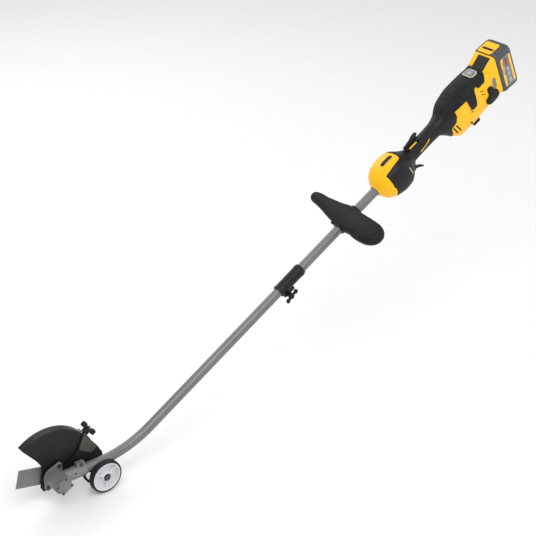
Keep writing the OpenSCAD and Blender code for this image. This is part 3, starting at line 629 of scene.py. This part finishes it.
RECEPTACLE = [  # depth, half width, top, bottom, corner radius
    (-42, 30, 42, 56, 8), (-37, 34, 47, 60, 9), (-20, 36.5, 55, 62, 10), (-7, 38.5, 61.5, 60, 10),
    (-3, 39, 63.2, 57, 10), (-0.8, 38.4, 62.8, 56.4, 9.5), (-0.7, 34, 58, 52, 9),
]
piece("battery_dock", *tube_of([battery_ring(w, t, b, r, x) for x, w, t, b, r in RECEPTACLE]), YELLOW,
      "battery_receptacle", ("battery_receptacle",), crease=45)


DOCK_FRONT, DOCK_FRONT_TOP, DOCK_RISE = -37, 47, 0.48


def on_dock(x, y, h):
    """A place on the dock's sloping top."""
    return on_battery(x, y, DOCK_FRONT_TOP + (x - DOCK_FRONT) * DOCK_RISE + h)


def quad(x0, x1, z0, z1, radius):
    """A rectangle between the limits, with round corners."""
    return [Vector((p[0] + (x0 + x1) / 2, p[1] + (z0 + z1) / 2))
            for p in rounded_box((x1 - x0) / 2, (z1 - z0) / 2, radius, 4)]


piece("dock_frame", *raised(quad(-47, -4, -31, 18, 4), on_dock,
                            [(0, -12), (0, 1.4), (0.7, 2.0), (2.6, 2.0), (3.2, 0.6)]),
      YELLOW, "battery_receptacle", crease=50)
# the dock's pocket is painted shade: a dark sheet where the recess would be in shade
piece("dock_pocket", *raised(quad(-43.5, -7.5, -28, 15, 3), on_dock,
                             [(0, 0), (0, 1.2), (0.3, 1.3), (2, 1.1)]),
      SLOT_PAINTED_SHADE, "battery_receptacle", crease=50)

CASE_RINGS = [  # depth from the front face, half width, top, bottom, corner radius
    (0.2, 37, 62, 60, 10), (1.0, 39.5, 64, 62, 11), (5, 41.2, 65, 64, 12), (9, 42, 65, 65, 12),
    (30, 42, 65, 65, 12), (50, 42, 65, 65, 12), (56, 40.5, 64, 64, 13), (60, 37, 61, 61, 14),
    (62, 31, 56, 56, 14),
]
piece("battery_case_body", *tube_of([battery_ring(w, t, b, r, x) for x, w, t, b, r in CASE_RINGS]), CASE,
      "battery_case", ("battery_case",), crease=40)


CASE_HALF, CASE_TOP = 42, 65          # half width of the battery case and height of its top face


def battery_side(side):
    return lambda x, z, h: on_battery(x, side * (CASE_HALF + h), z)


FLAT = [(0, -0.6), (0, 0.25), (0.3, 0.4)]
RAISED_LABEL = [(0, 0), (0, 0.55), (0.25, 0.65)]
ZIGZAG = [(11, -46), (16, -46), (20, -18), (16, -6), (21, 18), (17, 26), (22, 44), (13, 44), (11, 20),
          (14, 8), (11, -8)]
for side, tag in ((LEFT, "left"), (RIGHT, "right")):
    place = battery_side(side)
    piece("label_field_" + tag, *raised(quad(9, 52, -50, 47, 5), place, FLAT), PANEL, "battery_side_panels",
          ("battery_side_panels",) if side == LEFT else ())
    piece("label_zigzag_" + tag, *raised([Vector(p) for p in ZIGZAG], place, RAISED_LABEL), STRIPE,
          "battery_side_panels")
    piece("label_stripe_" + tag, *raised(quad(43, 50, -46, 44, 2), place, RAISED_LABEL), STRIPE,
          "battery_side_panels")
    piece("label_red_" + tag, *raised(quad(26, 35, 16, 40, 2), place, RAISED_LABEL), RED,
          "battery_side_panels")
    for k, (z0, z1) in enumerate(((-42, -26), (-20, -9), (-4, 9))):
        piece("label_mark_%s_%d" % (tag, k), *raised(quad(27, 37, z0, z1, 2), place, RAISED_LABEL),
              PALE, "battery_side_panels")

def battery_end(x, y, h):
    return on_battery(x, y, CASE_TOP + h)


piece("release_button", *raised(quad(1.5, 46, -20, 30, 6), battery_end,
                                [(0, -7), (0, 0.9), (0.9, 1.7), (4, 1.7), (6, 1.2)]),
      YELLOW, "battery_button", ("battery_button",), crease=45)
# the button slot, the well round the button and the end holes are painted shade: dark sheets where gaps and
# holes would be in shade
piece("button_slot", *raised(quad(15, 23, -19.5, 23, 3), battery_end,
                             [(0, 0), (0, 1.7), (0.3, 1.8), (1.5, 1.6)]),
      SLOT_PAINTED_SHADE, "battery_button", crease=45)
piece("button_well", *raised(quad(0.8, 48.5, -22, 32, 7), battery_end, [(0, -0.4), (0, 0.12), (0.8, 0.18)]),
      SLOT_PAINTED_SHADE, "battery_case")
for k, x in enumerate((12, 46)):
    hole = closed_curve([(x - 2.4, -29), (x, -31.4), (x + 2.4, -29), (x, -26.6)])
    piece("end_hole_%d" % k, *raised(hole, battery_end, [(0, -0.4), (0, 0.15), (0.6, 0.2)]), SLOT_PAINTED_SHADE,
          "battery_case")

# ---------- lever, selector, trigger ----------

def plate(name, outline, place, half, finish, like, nodes, round_by=1.2):
    """A side outline with full thickness and rounded edges; place(a, b, y) gives the point."""
    rings = []
    centre = sum(outline, Vector((0, 0))) / len(outline)
    for k in range(9):
        t = math.radians(-90 + 180 * k / 8)
        inset = round_by * (1 - math.cos(t))
        y = (half - round_by) * (1 if t > 0 else -1 if t < 0 else 0) + round_by * math.sin(t)
        rings.append([place(*(p + (centre - p).normalized() * inset), y) for p in outline])
    return piece(name, *tube_of(rings), finish, like, nodes, crease=55)


SADDLE = 22.1                        # height of the saddle's base
LEVER_PIVOT = (-58, SADDLE + 4.5)
TRIGGER_PIVOT = (-71, -45)


def beside(pivot):
    return lambda a, b, y: on_shaft(pivot[0] + a, y, pivot[1] + b)


BLADE_HALF = 3.9                     # half width of the lever and the trigger
LEVER = [(-4, -1.5), (-4.5, 5), (4, 9.8), (16, 13), (28, 17.6), (38, 19.6), (45, 17.8), (45.5, 14.5),
         (40, 10.5), (26, 5.5), (8, -0.5), (2, -2.2)]
plate("lock_off_paddle", closed_curve(LEVER, 5), beside(LEVER_PIVOT), BLADE_HALF, BLACK, "lock_off_lever",
      ("lock_off_lever",), 1.5)
TRIGGER = [(-3, -2), (-1, 2), (7, 2.6), (16, -2.6), (26, -8.6), (34, -16.6), (38, -22.6), (33, -21.4),
           (25, -15.4), (14, -9.4), (5, -5.6)]
plate("trigger_blade", closed_curve(TRIGGER, 5), beside(TRIGGER_PIVOT), BLADE_HALF, BLACK, "trigger",
      ("trigger",), 1.4)
SELECTOR_AT, SELECTOR_UP = -42, SADDLE + 3.0


def on_selector(s, n, h):
    """A place on the selector's near face."""
    return on_shaft(s, -6 - h, n)


SELECTOR = [Vector((p[0] + SELECTOR_AT, p[1] + SELECTOR_UP)) for p in rounded_box(14.5, 2.3, 2.2)]
piece("selector_slider", *raised(SELECTOR, on_selector, [(0, 0), (0, 3.2), (0.6, 3.7)]), STRIPE,
      "speed_selector", ("speed_selector",))
ridges = []
for k in range(6):
    ridge = [Vector((p[0] - 45 + 2.8 * k, p[1] + SELECTOR_UP)) for p in rounded_box(0.5, 1.3, 0.4)]
    ridges.append(raised(ridge, on_selector, [(0, 3.2), (0, 4.0), (0.2, 4.1)]))
piece("selector_ridges", *joined(ridges), STRIPE, "speed_selector")

# ---------- front handle ----------
# Each row is [reach, half width, above, below, squareness, shift along the shaft, lift].

FAR_ARM = [
    [0, 36, 20, 19.5, 2.7, 0, 6], [16, 35.5, 20, 19.5, 2.6, 0, 6.5], [34, 32, 19.5, 19, 2.5, 0, 8],
    [62, 25.5, 18, 17, 2.3, 3, 11], [95, 19.5, 16.5, 16, 2.1, 6, 14.5], [118, 17.3, 16.2, 16, 2, 8, 17],
    [131, 15.2, 15, 14.6, 2, 8, 18], [138, 11.5, 11.5, 11, 2, 8, 18], [141.6, 6.5, 6.5, 6, 2, 8, 18],
    [143, 1.2, 1.2, 1.2, 2, 8, 18],
]
NEAR_ARM = [
    [0, 36, 20, 19.5, 2.7, 0, 6], [16, 35.5, 20, 19.5, 2.6, -2, 5], [40, 35.5, 20, 19.5, 2.6, -4, 5],
    [72, 36, 19.5, 19.5, 2.5, -6, 4], [98, 35, 18.5, 18.5, 2.4, -7, 3], [115, 31, 17.5, 17, 2.4, -7, 2],
    [127, 24.5, 15, 14.5, 2.3, -7, 1.5], [134, 17, 11.5, 11.5, 2.1, -7, 1], [137.4, 9.5, 7, 7, 2, -7, 1],
    [138.8, 1.2, 1.2, 1.2, 2, -7, 1],
]
HANDLE_AT = 315


def arm(name, rows, side, node):
    """One arm of the handle, lofted outward, with finger waves below and a hollow near the clamp."""
    rings = []
    first, last = rows[0][0], rows[-1][0]
    steps = 64
    for i in range(steps + 1):
        t = i / steps
        reach = first + (last - first) * (1 - (1 - t) ** 1.6)
        w, up, down, e, shift, lift = through(rows, reach)
        ring = []
        for k in range(48):
            a = 2 * math.pi * k / 48
            c, sn = math.cos(a), math.sin(a)
            fingers = smooth((reach - 50) / 10) * smooth((128 - reach) / 12)
            wave = 0.5 * math.cos(reach / 4.2) * max(-sn, 0) * fingers
            hollow = 3.0 * math.exp(-((reach - 40) / 13) ** 2) * max(-c, 0) ** 3
            x = (w - hollow) * math.copysign(abs(c) ** (2 / e), c)
            n = ((up if sn >= 0 else down) + wave) * math.copysign(abs(sn) ** (2 / e), sn)
            ring.append(on_shaft(-HANDLE_AT + shift + x, side * reach, lift + n))
        rings.append(ring)
    return piece(name, *tube_of(rings), RUBBER, node, (node,), crease=60)


arm("handle_near_grip", NEAR_ARM, LEFT, "handle_near_arm")
arm("handle_far_grip", FAR_ARM, RIGHT, "handle_far_arm")


def round_line(radius, count):
    """Points (across, up) evenly round a circle."""
    turns = [2 * math.pi * k / count for k in range(count)]
    return [(radius * math.cos(a), radius * math.sin(a)) for a in turns]


def shaft_ring(s, radius, count=48):
    return [on_shaft(s, y, n) for y, n in round_line(radius, count)]


def sleeve(profile):
    """A ring round the shaft from (radius, station) points, closed on itself."""
    return ring_body([shaft_ring(s, r) for r, s in profile])


TUBE_R = 12.75
CLAMP = [(TUBE_R + 0.05, -353), (16.6, -353), (17.4, -352), (17.6, -349), (17.6, -281), (17.4, -278),
         (16.6, -277), (TUBE_R + 0.05, -277)]
piece("handle_collar", *sleeve(CLAMP), BLACK, "handle_clamp", ("handle_clamp",), crease=40)


def handle_face(y, n, out):
    """A place on the handle's front face, out toward the head."""
    return on_shaft(-HANDLE_AT - 34 - out, y, n)


# the pockets in the handle's front are painted shade: dark discs where the holes would be in shade
for k, (y, n) in enumerate(((22, 11), (-22, 4))):
    hole = [Vector((y + a, n + b)) for a, b in round_line(5, 24)]
    piece("handle_pocket_%d" % k, *raised(hole, handle_face, [(0, -4), (0, 2.0), (0.5, 2.4), (1.0, 2.3)]),
          SLOT_PAINTED_SHADE, "handle_clamp", crease=40)
for node_name, width in (("handle_screws", 0.6), ("housing_screws", 0.4), ("rear_foot", 2.6)):
    soft = NODES[node_name].modifiers.new("soft_edges", "BEVEL")
    soft.width, soft.segments, soft.limit_method = width * MM, 3, "ANGLE"

# ---------- coupler ----------

COUPLER = [(TUBE_R, -592), (16.8, -592), (17.7, -591.2), (17.7, -587.6), (16.5, -586.6), (16.3, -560),
           (16.5, -520), (17.4, -515), (17.7, -513.5), (17.7, -508.5), (16.6, -507.4), (15.6, -502.6),
           (TUBE_R, -502)]


def coupler():
    rings, count = [], 64
    for r, s in COUPLER:
        ring = []
        for k in range(count):
            a = 2 * math.pi * k / count
            flute = 0.35 * math.cos(8 * a) if -582 < s < -518 and r > TUBE_R else 0
            ring.append(on_shaft(s, (r + flute) * math.cos(a), (r + flute) * math.sin(a)))
        rings.append(ring)
    lug = []
    for k in range(9):
        t = math.radians(-90 + 180 * k / 8)
        y = 7.6 * (1 if t > 0 else -1 if t < 0 else 0) + 1.4 * math.sin(t)
        inset = 1.4 * (1 - math.cos(t))
        lug.append([on_shaft(-568 + p[0] * (1 - inset / 19), y, -19 + p[1] * (1 - inset / 9))
                    for p in rounded_box(18.8, 8.8, 4)])
    return joined([ring_body(rings), tube_of(lug)])


piece("coupler_clamp", *coupler(), BLACK, "coupler_sleeve", ("coupler_sleeve",), crease=35)


def knob(place, base, top, wing, wing_r, lobe_top, stout=1.0):
    """A wing knob: a waisted hub with two rounded lobes; place(across, along, out) gives the point."""
    def turn(cx, profile):
        return tube_of([[place(cx + a, b, d) for a, b in round_line(r, 36)] for r, d in profile])

    hub_line = [(5.6, base), (6.8, base + 0.6), (7.2, base + 3), (6.6, (base + top) / 2), (7.6, top - 1),
                (6.8, top), (0.4, top + 0.4)]
    parts = [turn(0, [(r * stout, d) for r, d in hub_line])]
    for sign in (-1, 1):
        parts.append(turn(sign * wing, [(0.5, top - 7.4), (wing_r - 2, top - 7), (wing_r, top - 4.6),
                                        (wing_r, lobe_top - 2), (wing_r - 1.6, lobe_top - 0.4),
                                        (0.5, lobe_top)]))
        web = []
        for k in range(7):
            t = k / 6
            half, depth = (4.6 - 1.2 * math.sin(math.pi * t)) * stout, 3.4 * stout
            x = sign * (2 + (wing - 2) * t)
            mid = (top - 4) * (1 - t) + (lobe_top - 4.2) * t
            web.append([place(x, p[0], mid + p[1]) for p in rounded_box(half, depth, 2.4, 4)])
        parts.append(tube_of(web))
    return joined(parts)


BOLT_AT, LUG = -575, -21
piece("coupler_wing_knob", *knob(lambda a, b, out: on_shaft(BOLT_AT + a, -out, LUG + b + a * 0.17),
                                 11.4, 29.5, 16, 6, 31),
      BLACK, "coupler_knob", ("coupler_knob",), crease=45)
BOLT = [(3, -12), (3, 9.4), (5.4, 9.6), (5.6, 12.4), (5, 13), (1.6, 13), (1.4, 11.8)]
bolt_rings = [[on_shaft(BOLT_AT + a, y, LUG + b) for a, b in round_line(r, 24)] for r, y in BOLT]
piece("coupler_bolt", *tube_of(bolt_rings), STEEL, "coupler_knob", crease=35)
STUD_ANGLE, STUD_Y = math.radians(35), 37.5
GUARD_R = 125


def on_stud(a, b, out):
    """a across the stud in the blade's plane, b along Y, out from the guard's rim."""
    radial = GUARD_R + out
    return at_head(radial * math.cos(STUD_ANGLE) - a * math.sin(STUD_ANGLE), STUD_Y + b,
                   radial * math.sin(STUD_ANGLE) + a * math.cos(STUD_ANGLE))


piece("depth_wing_knob", *knob(on_stud, 4.6, 20, 19, 8.0, 26.5, 1.4), BLACK, "depth_knob", ("depth_knob",),
      crease=45)

# painted highlight: a pale olive plate on the black arm, over the guard's side wall, standing in for the
# light that falls on the arm's face
ARM_FACE = 22.3                      # near face of the arm
ARM_HIGHLIGHT_OUTLINE = [(97, 82), (110, 62), (131, 31), (113, 20), (92, 32), (80, 43), (85, 56)]


def on_arm_face(x, z, h):
    return at_head(x, ARM_FACE - h, z)


piece("arm_highlight_plate", *raised([Vector(p) for p in ARM_HIGHLIGHT_OUTLINE], on_arm_face,
                           [(0, -0.3), (0, 0.7), (0.5, 1.1), (1.4, 1.1)]), OLIVE_PAINTED_HIGHLIGHT, "wheel_arm", crease=35)

# flange of the gear head: both ears and the round body in one smooth outline
FLANGE_Y, EAR_REACH, EAR_ANGLE = 17, 31, math.radians(56)
BODY_R, EAR_R = 26.4, 8.4


def flange_ring(y, inset):
    """The line round the body and its two ears, drawn in by the inset."""
    ear = Vector((math.cos(EAR_ANGLE), math.sin(EAR_ANGLE))) * EAR_REACH
    circles = ((Vector((0, 0)), BODY_R), (ear, EAR_R), (-ear, EAR_R))
    ring = []
    for direction in round_line(1, 120):
        away = Vector(direction)
        centre, radius = max(circles, key=lambda c: c[0].dot(away) + c[1])
        p = centre + away * (radius - inset)
        ring.append(at_head(p[0], y, p[1]))
    return ring


piece("gear_flange", *tube_of([flange_ring(FLANGE_Y + 5.1, 0.6), flange_ring(FLANGE_Y + 4.5, 0),
                               flange_ring(FLANGE_Y + 0.9, 0), flange_ring(FLANGE_Y + 0.2, 0.3),
                               flange_ring(FLANGE_Y - 0.1, 1.0)]), CAST, "gear_case", crease=40)

# ---------- guard ----------

GUARD_T, WALL_Y, RIM = 2.8, 25.2, 25
TIP, FLAP_FROM, FLAP, FLAP_END = math.radians(126), math.radians(31), 92, 1.4


def guard_line(radius, t):
    """A point on the rim's line; t runs 0 to 1 over the arc and on to FLAP_END along the straight flap."""
    if t <= 1:
        a = TIP + (FLAP_FROM - TIP) * t
        return Vector((radius * math.cos(a), radius * math.sin(a)))
    d = FLAP * (t - 1) / (FLAP_END - 1)
    return Vector((radius * math.cos(FLAP_FROM) + d * math.sin(FLAP_FROM),
                   radius * math.sin(FLAP_FROM) - d * math.cos(FLAP_FROM)))


INNER_EDGE = [(-40, 60), (-28, 40), (-25, 22), (-31, 0), (-34, -24), (-27, -38), (-12, -42), (20, -34),
              (60, -22)]


WALL_STEPS = [(0.9, 112, 2.0), (0.8, 96, 2.0), (0.7, 72, 2.5)]      # rise, radius, width of each step


def guard_wall():
    """The side wall with its concentric steps, from the rim to the inner edge, and the rim over the blade."""
    inner = INNER_EDGE + [tuple(guard_line(GUARD_R, FLAP_END) + Vector((-26, 4)))]
    steps, depth = 110, 46
    rows_near, rows_far = [], []
    for i in range(steps + 1):
        t = FLAP_END * i / steps
        out = guard_line(GUARD_R, t)
        k = t / FLAP_END * (len(inner) - 1)
        j = min(int(k), len(inner) - 2)
        a, b = Vector(inner[j]), Vector(inner[j + 1])
        near = a + (b - a) * (k - j)
        row_n, row_f = [], []
        for d in range(depth + 1):
            p = out + (near - out) * (d / depth)
            r = p.length
            step = sum(rise * smooth((r - at) / width) for rise, at, width in WALL_STEPS)
            edge = 0.5 * (1 - smooth(d / 1.5)) if d else 0.5
            y = WALL_Y + 2.2 - step * 0.9 + edge
            row_n.append(at_head(p[0], y, p[1]))
            row_f.append(at_head(p[0], WALL_Y + GUARD_T + 0.2, p[1]))
        rows_near.append(row_n)
        rows_far.append(row_f)
    wall = slab(rows_near, rows_far)
    rim = []
    for i in range(steps + 1):
        t = FLAP_END * i / steps
        out, inn = guard_line(GUARD_R, t), guard_line(GUARD_R - GUARD_T, t)
        mid = (out + inn) / 2
        rim.append([at_head(*q) for q in ((out[0], WALL_Y + 0.8, out[1]), (mid[0], WALL_Y, mid[1]),
                                          (inn[0], WALL_Y + 0.5, inn[1]),
                                          (inn[0], WALL_Y + RIM - 1, inn[1]),
                                          (mid[0], WALL_Y + RIM, mid[1]),
                                          (out[0], WALL_Y + RIM - 0.6, out[1]))])
    return joined([wall, tube_of(rim)])


piece("guard_shell", *guard_wall(), BLACK, "guard", ("guard",), crease=40)

# ---------- wheel ----------

AXLE = (124, -32)
WHEEL_FACE, WHEEL_W, HUB_R, WHEEL_R = -30, 17, 39, 44.5


def wheel_place(r, a, y):
    return at_head(AXLE[0] + r * math.cos(a), y, AXLE[1] + r * math.sin(a))


def wheel_ring(profile, count=96, wave=None):
    return ring_body([[wheel_place(r + (wave(k, y) if wave else 0), 2 * math.pi * k / count, y)
                       for k in range(count)] for r, y in profile])


def tread(k, y):
    return -0.55 if k % 6 == 0 else 0.0


near_face, far_face = WHEEL_FACE, WHEEL_FACE + WHEEL_W
TYRE_PROFILE = [
    (HUB_R, near_face + 0.6), (HUB_R + 0.9, near_face + 0.1), (HUB_R + 2.6, near_face),
    (HUB_R + 4.4, near_face + 1.1), (WHEEL_R - 0.2, near_face + 3.4), (WHEEL_R, near_face + 5.6),
    (WHEEL_R, far_face - 5.6), (WHEEL_R - 0.2, far_face - 3.4), (HUB_R + 4.4, far_face - 1.1),
    (HUB_R + 2.6, far_face), (HUB_R, far_face - 0.6),
]
piece("tyre_treaded", *wheel_ring(TYRE_PROFILE, 144, tread), TYRE, "tyre", ("tyre",), crease=30)

HUB_PROFILE = [
    (HUB_R - 0.05, near_face + 0.4), (HUB_R - 0.8, near_face + 0.05), (HUB_R - 2.4, near_face),
    (HUB_R - 3.6, near_face + 0.6), (HUB_R - 4.4, near_face + 3), (HUB_R - 6, near_face + 8.4),
    (26, near_face + 10.2), (15, near_face + 9.2), (12.2, near_face + 4), (11.4, near_face + 1.2),
    (10.6, near_face + 0.6), (5, near_face + 0.6), (4.05, near_face + 1.2), (4.05, far_face + 0.4),
    (11.4, far_face + 0.6), (12, far_face - 3), (26, near_face + 13), (HUB_R - 5, near_face + 12.4),
    (HUB_R - 4, far_face - 0.6), (HUB_R - 0.05, far_face - 0.4),
]


def hub():
    parts = [wheel_ring(HUB_PROFILE)]
    for k in range(3):
        turn = math.radians(30 + 120 * k)
        spoke = []
        for i in range(9):
            r = 10 + (HUB_R - 13.5) * i / 8
            half = 3.4 - 0.6 * math.sin(math.pi * i / 8)
            front = near_face + 1.6 + 2.2 * math.sin(math.pi * i / 8)
            section = ((-half, near_face + 11), (-half + 0.4, front + 0.8), (-half + 1.2, front),
                       (half - 1.2, front), (half - 0.4, front + 0.8), (half, near_face + 11))
            spoke.append([wheel_place(math.hypot(r, side), turn + math.atan2(side, r), y)
                          for side, y in section])
        parts.append(tube_of(spoke))
    return joined(parts)


piece("wheel_hub_disc", *hub(), WHITE, "wheel_hub", ("wheel_hub",), crease=38)
AXLE_CAP = [
    (4, near_face + 3), (9.6, near_face + 0.5), (9.8, near_face - 0.8), (9.0, near_face - 2),
    (7.2, near_face - 2.6), (6.4, near_face - 1.9), (2.8, near_face - 2.0), (2.4, near_face - 2.9),
    (0.3, near_face - 3.0),
]
cap_rings = [[wheel_place(r, 2 * math.pi * k / 40, y) for k in range(40)] for r, y in AXLE_CAP]
piece("axle_cap", *tube_of(cap_rings), BLACK, "axle", crease=32)

# ---------- gear head and other CAD pieces that stay ----------

SOFT = {
    "gear_case": 1.0, "bearing_cap": 1.2, "wheel_arm": 0.5, "gear_case_screws": 0.25, "guard_screws": 0.4,
    "blade_nut": 0.5, "grip_saddle": 1.2, "trigger_mount": 0.8, "depth_stud": 0.3, "blade": 0.35,
}
for node_name, width in SOFT.items():
    edge = NODES[node_name].modifiers.new("soft_edges", "BEVEL")
    edge.width, edge.segments, edge.limit_method = width * MM, 3, "ANGLE"
    edge.angle_limit = math.radians(32)
REPAINT = {
    "wheel_arm": BLACK, "shaft_socket": BLACK, "depth_stud": DARK_STEEL, "guard_screws": DARK_STEEL,
    "gear_case_screws": DARK_STEEL, "handle_screws": DARK_STEEL, "housing_screws": DARK_STEEL,
    "axle": DARK_STEEL,
}
for node_name, finish in REPAINT.items():
    NODES[node_name].data.materials[0] = finish
for node_name, node_object in NODES.items():
    node_object.data.shade_smooth()
    node_object.data.set_sharp_from_angle(angle=math.radians(30))

# ---------- floor, light, camera ----------

low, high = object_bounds()
floor_mesh = bpy.data.meshes.new("floor")
span = 9.0
corners = [(-span, -span, 0), (span, -span, 0), (span, span, 0), (-span, span, 0)]
floor_mesh.from_pydata(corners, [], [(0, 1, 2, 3)])
floor = bpy.data.objects.new("floor", floor_mesh)
floor.location = ((low.x + high.x) / 2, 0, low.z - 0.002)
floor_mesh.materials.append(material("pale_floor", (0.86, 0.86, 0.86), 0.7, blotch=0.004, grain=0.02))
bpy.context.scene.collection.objects.link(floor)

world = bpy.data.worlds.new("studio")
bpy.context.scene.world = world
world.use_nodes = True
world.node_tree.nodes["Background"].inputs["Color"].default_value = (1.0, 1.0, 1.0, 1)
world.node_tree.nodes["Background"].inputs["Strength"].default_value = 0.72
bpy.context.scene.view_settings.view_transform = "Standard"


def softbox(name, place, aim, size, power):
    data = bpy.data.lights.new(name, "AREA")
    data.shape, data.size, data.energy = "SQUARE", size, power
    light = bpy.data.objects.new(name, data)
    bpy.context.scene.collection.objects.link(light)
    light.location = place
    light.rotation_euler = (Vector(aim) - Vector(place)).to_track_quat("-Z", "Y").to_euler()


middle = (low + high) / 2
softbox("key", middle + Vector((-1.6, -1.8, 3.0)), middle, 2.2, 70)
softbox("fill", middle + Vector((2.6, -2.2, 1.6)), middle, 2.6, 30)
softbox("rim", middle + Vector((0.4, 2.8, 2.2)), middle, 2.2, 34)

CAMERA_AZIMUTH, CAMERA_ELEVATION = math.radians(-38.9), math.radians(28.2)
CAMERA_DISTANCE, CAMERA_LENS = 3.6, 95.4
AIM = Vector((-0.596, -0.060, -0.171))
back = Vector((math.sin(CAMERA_AZIMUTH) * math.cos(CAMERA_ELEVATION),
               -math.cos(CAMERA_AZIMUTH) * math.cos(CAMERA_ELEVATION), math.sin(CAMERA_ELEVATION)))
camera_data = bpy.data.cameras.new("camera")
camera_data.lens, camera_data.sensor_width = CAMERA_LENS, 36
camera = bpy.data.objects.new("camera", camera_data)
camera.location = AIM + back * CAMERA_DISTANCE
camera.rotation_euler = (-back).to_track_quat("-Z", "Y").to_euler()
bpy.context.scene.collection.objects.link(camera)
bpy.context.scene.camera = camera
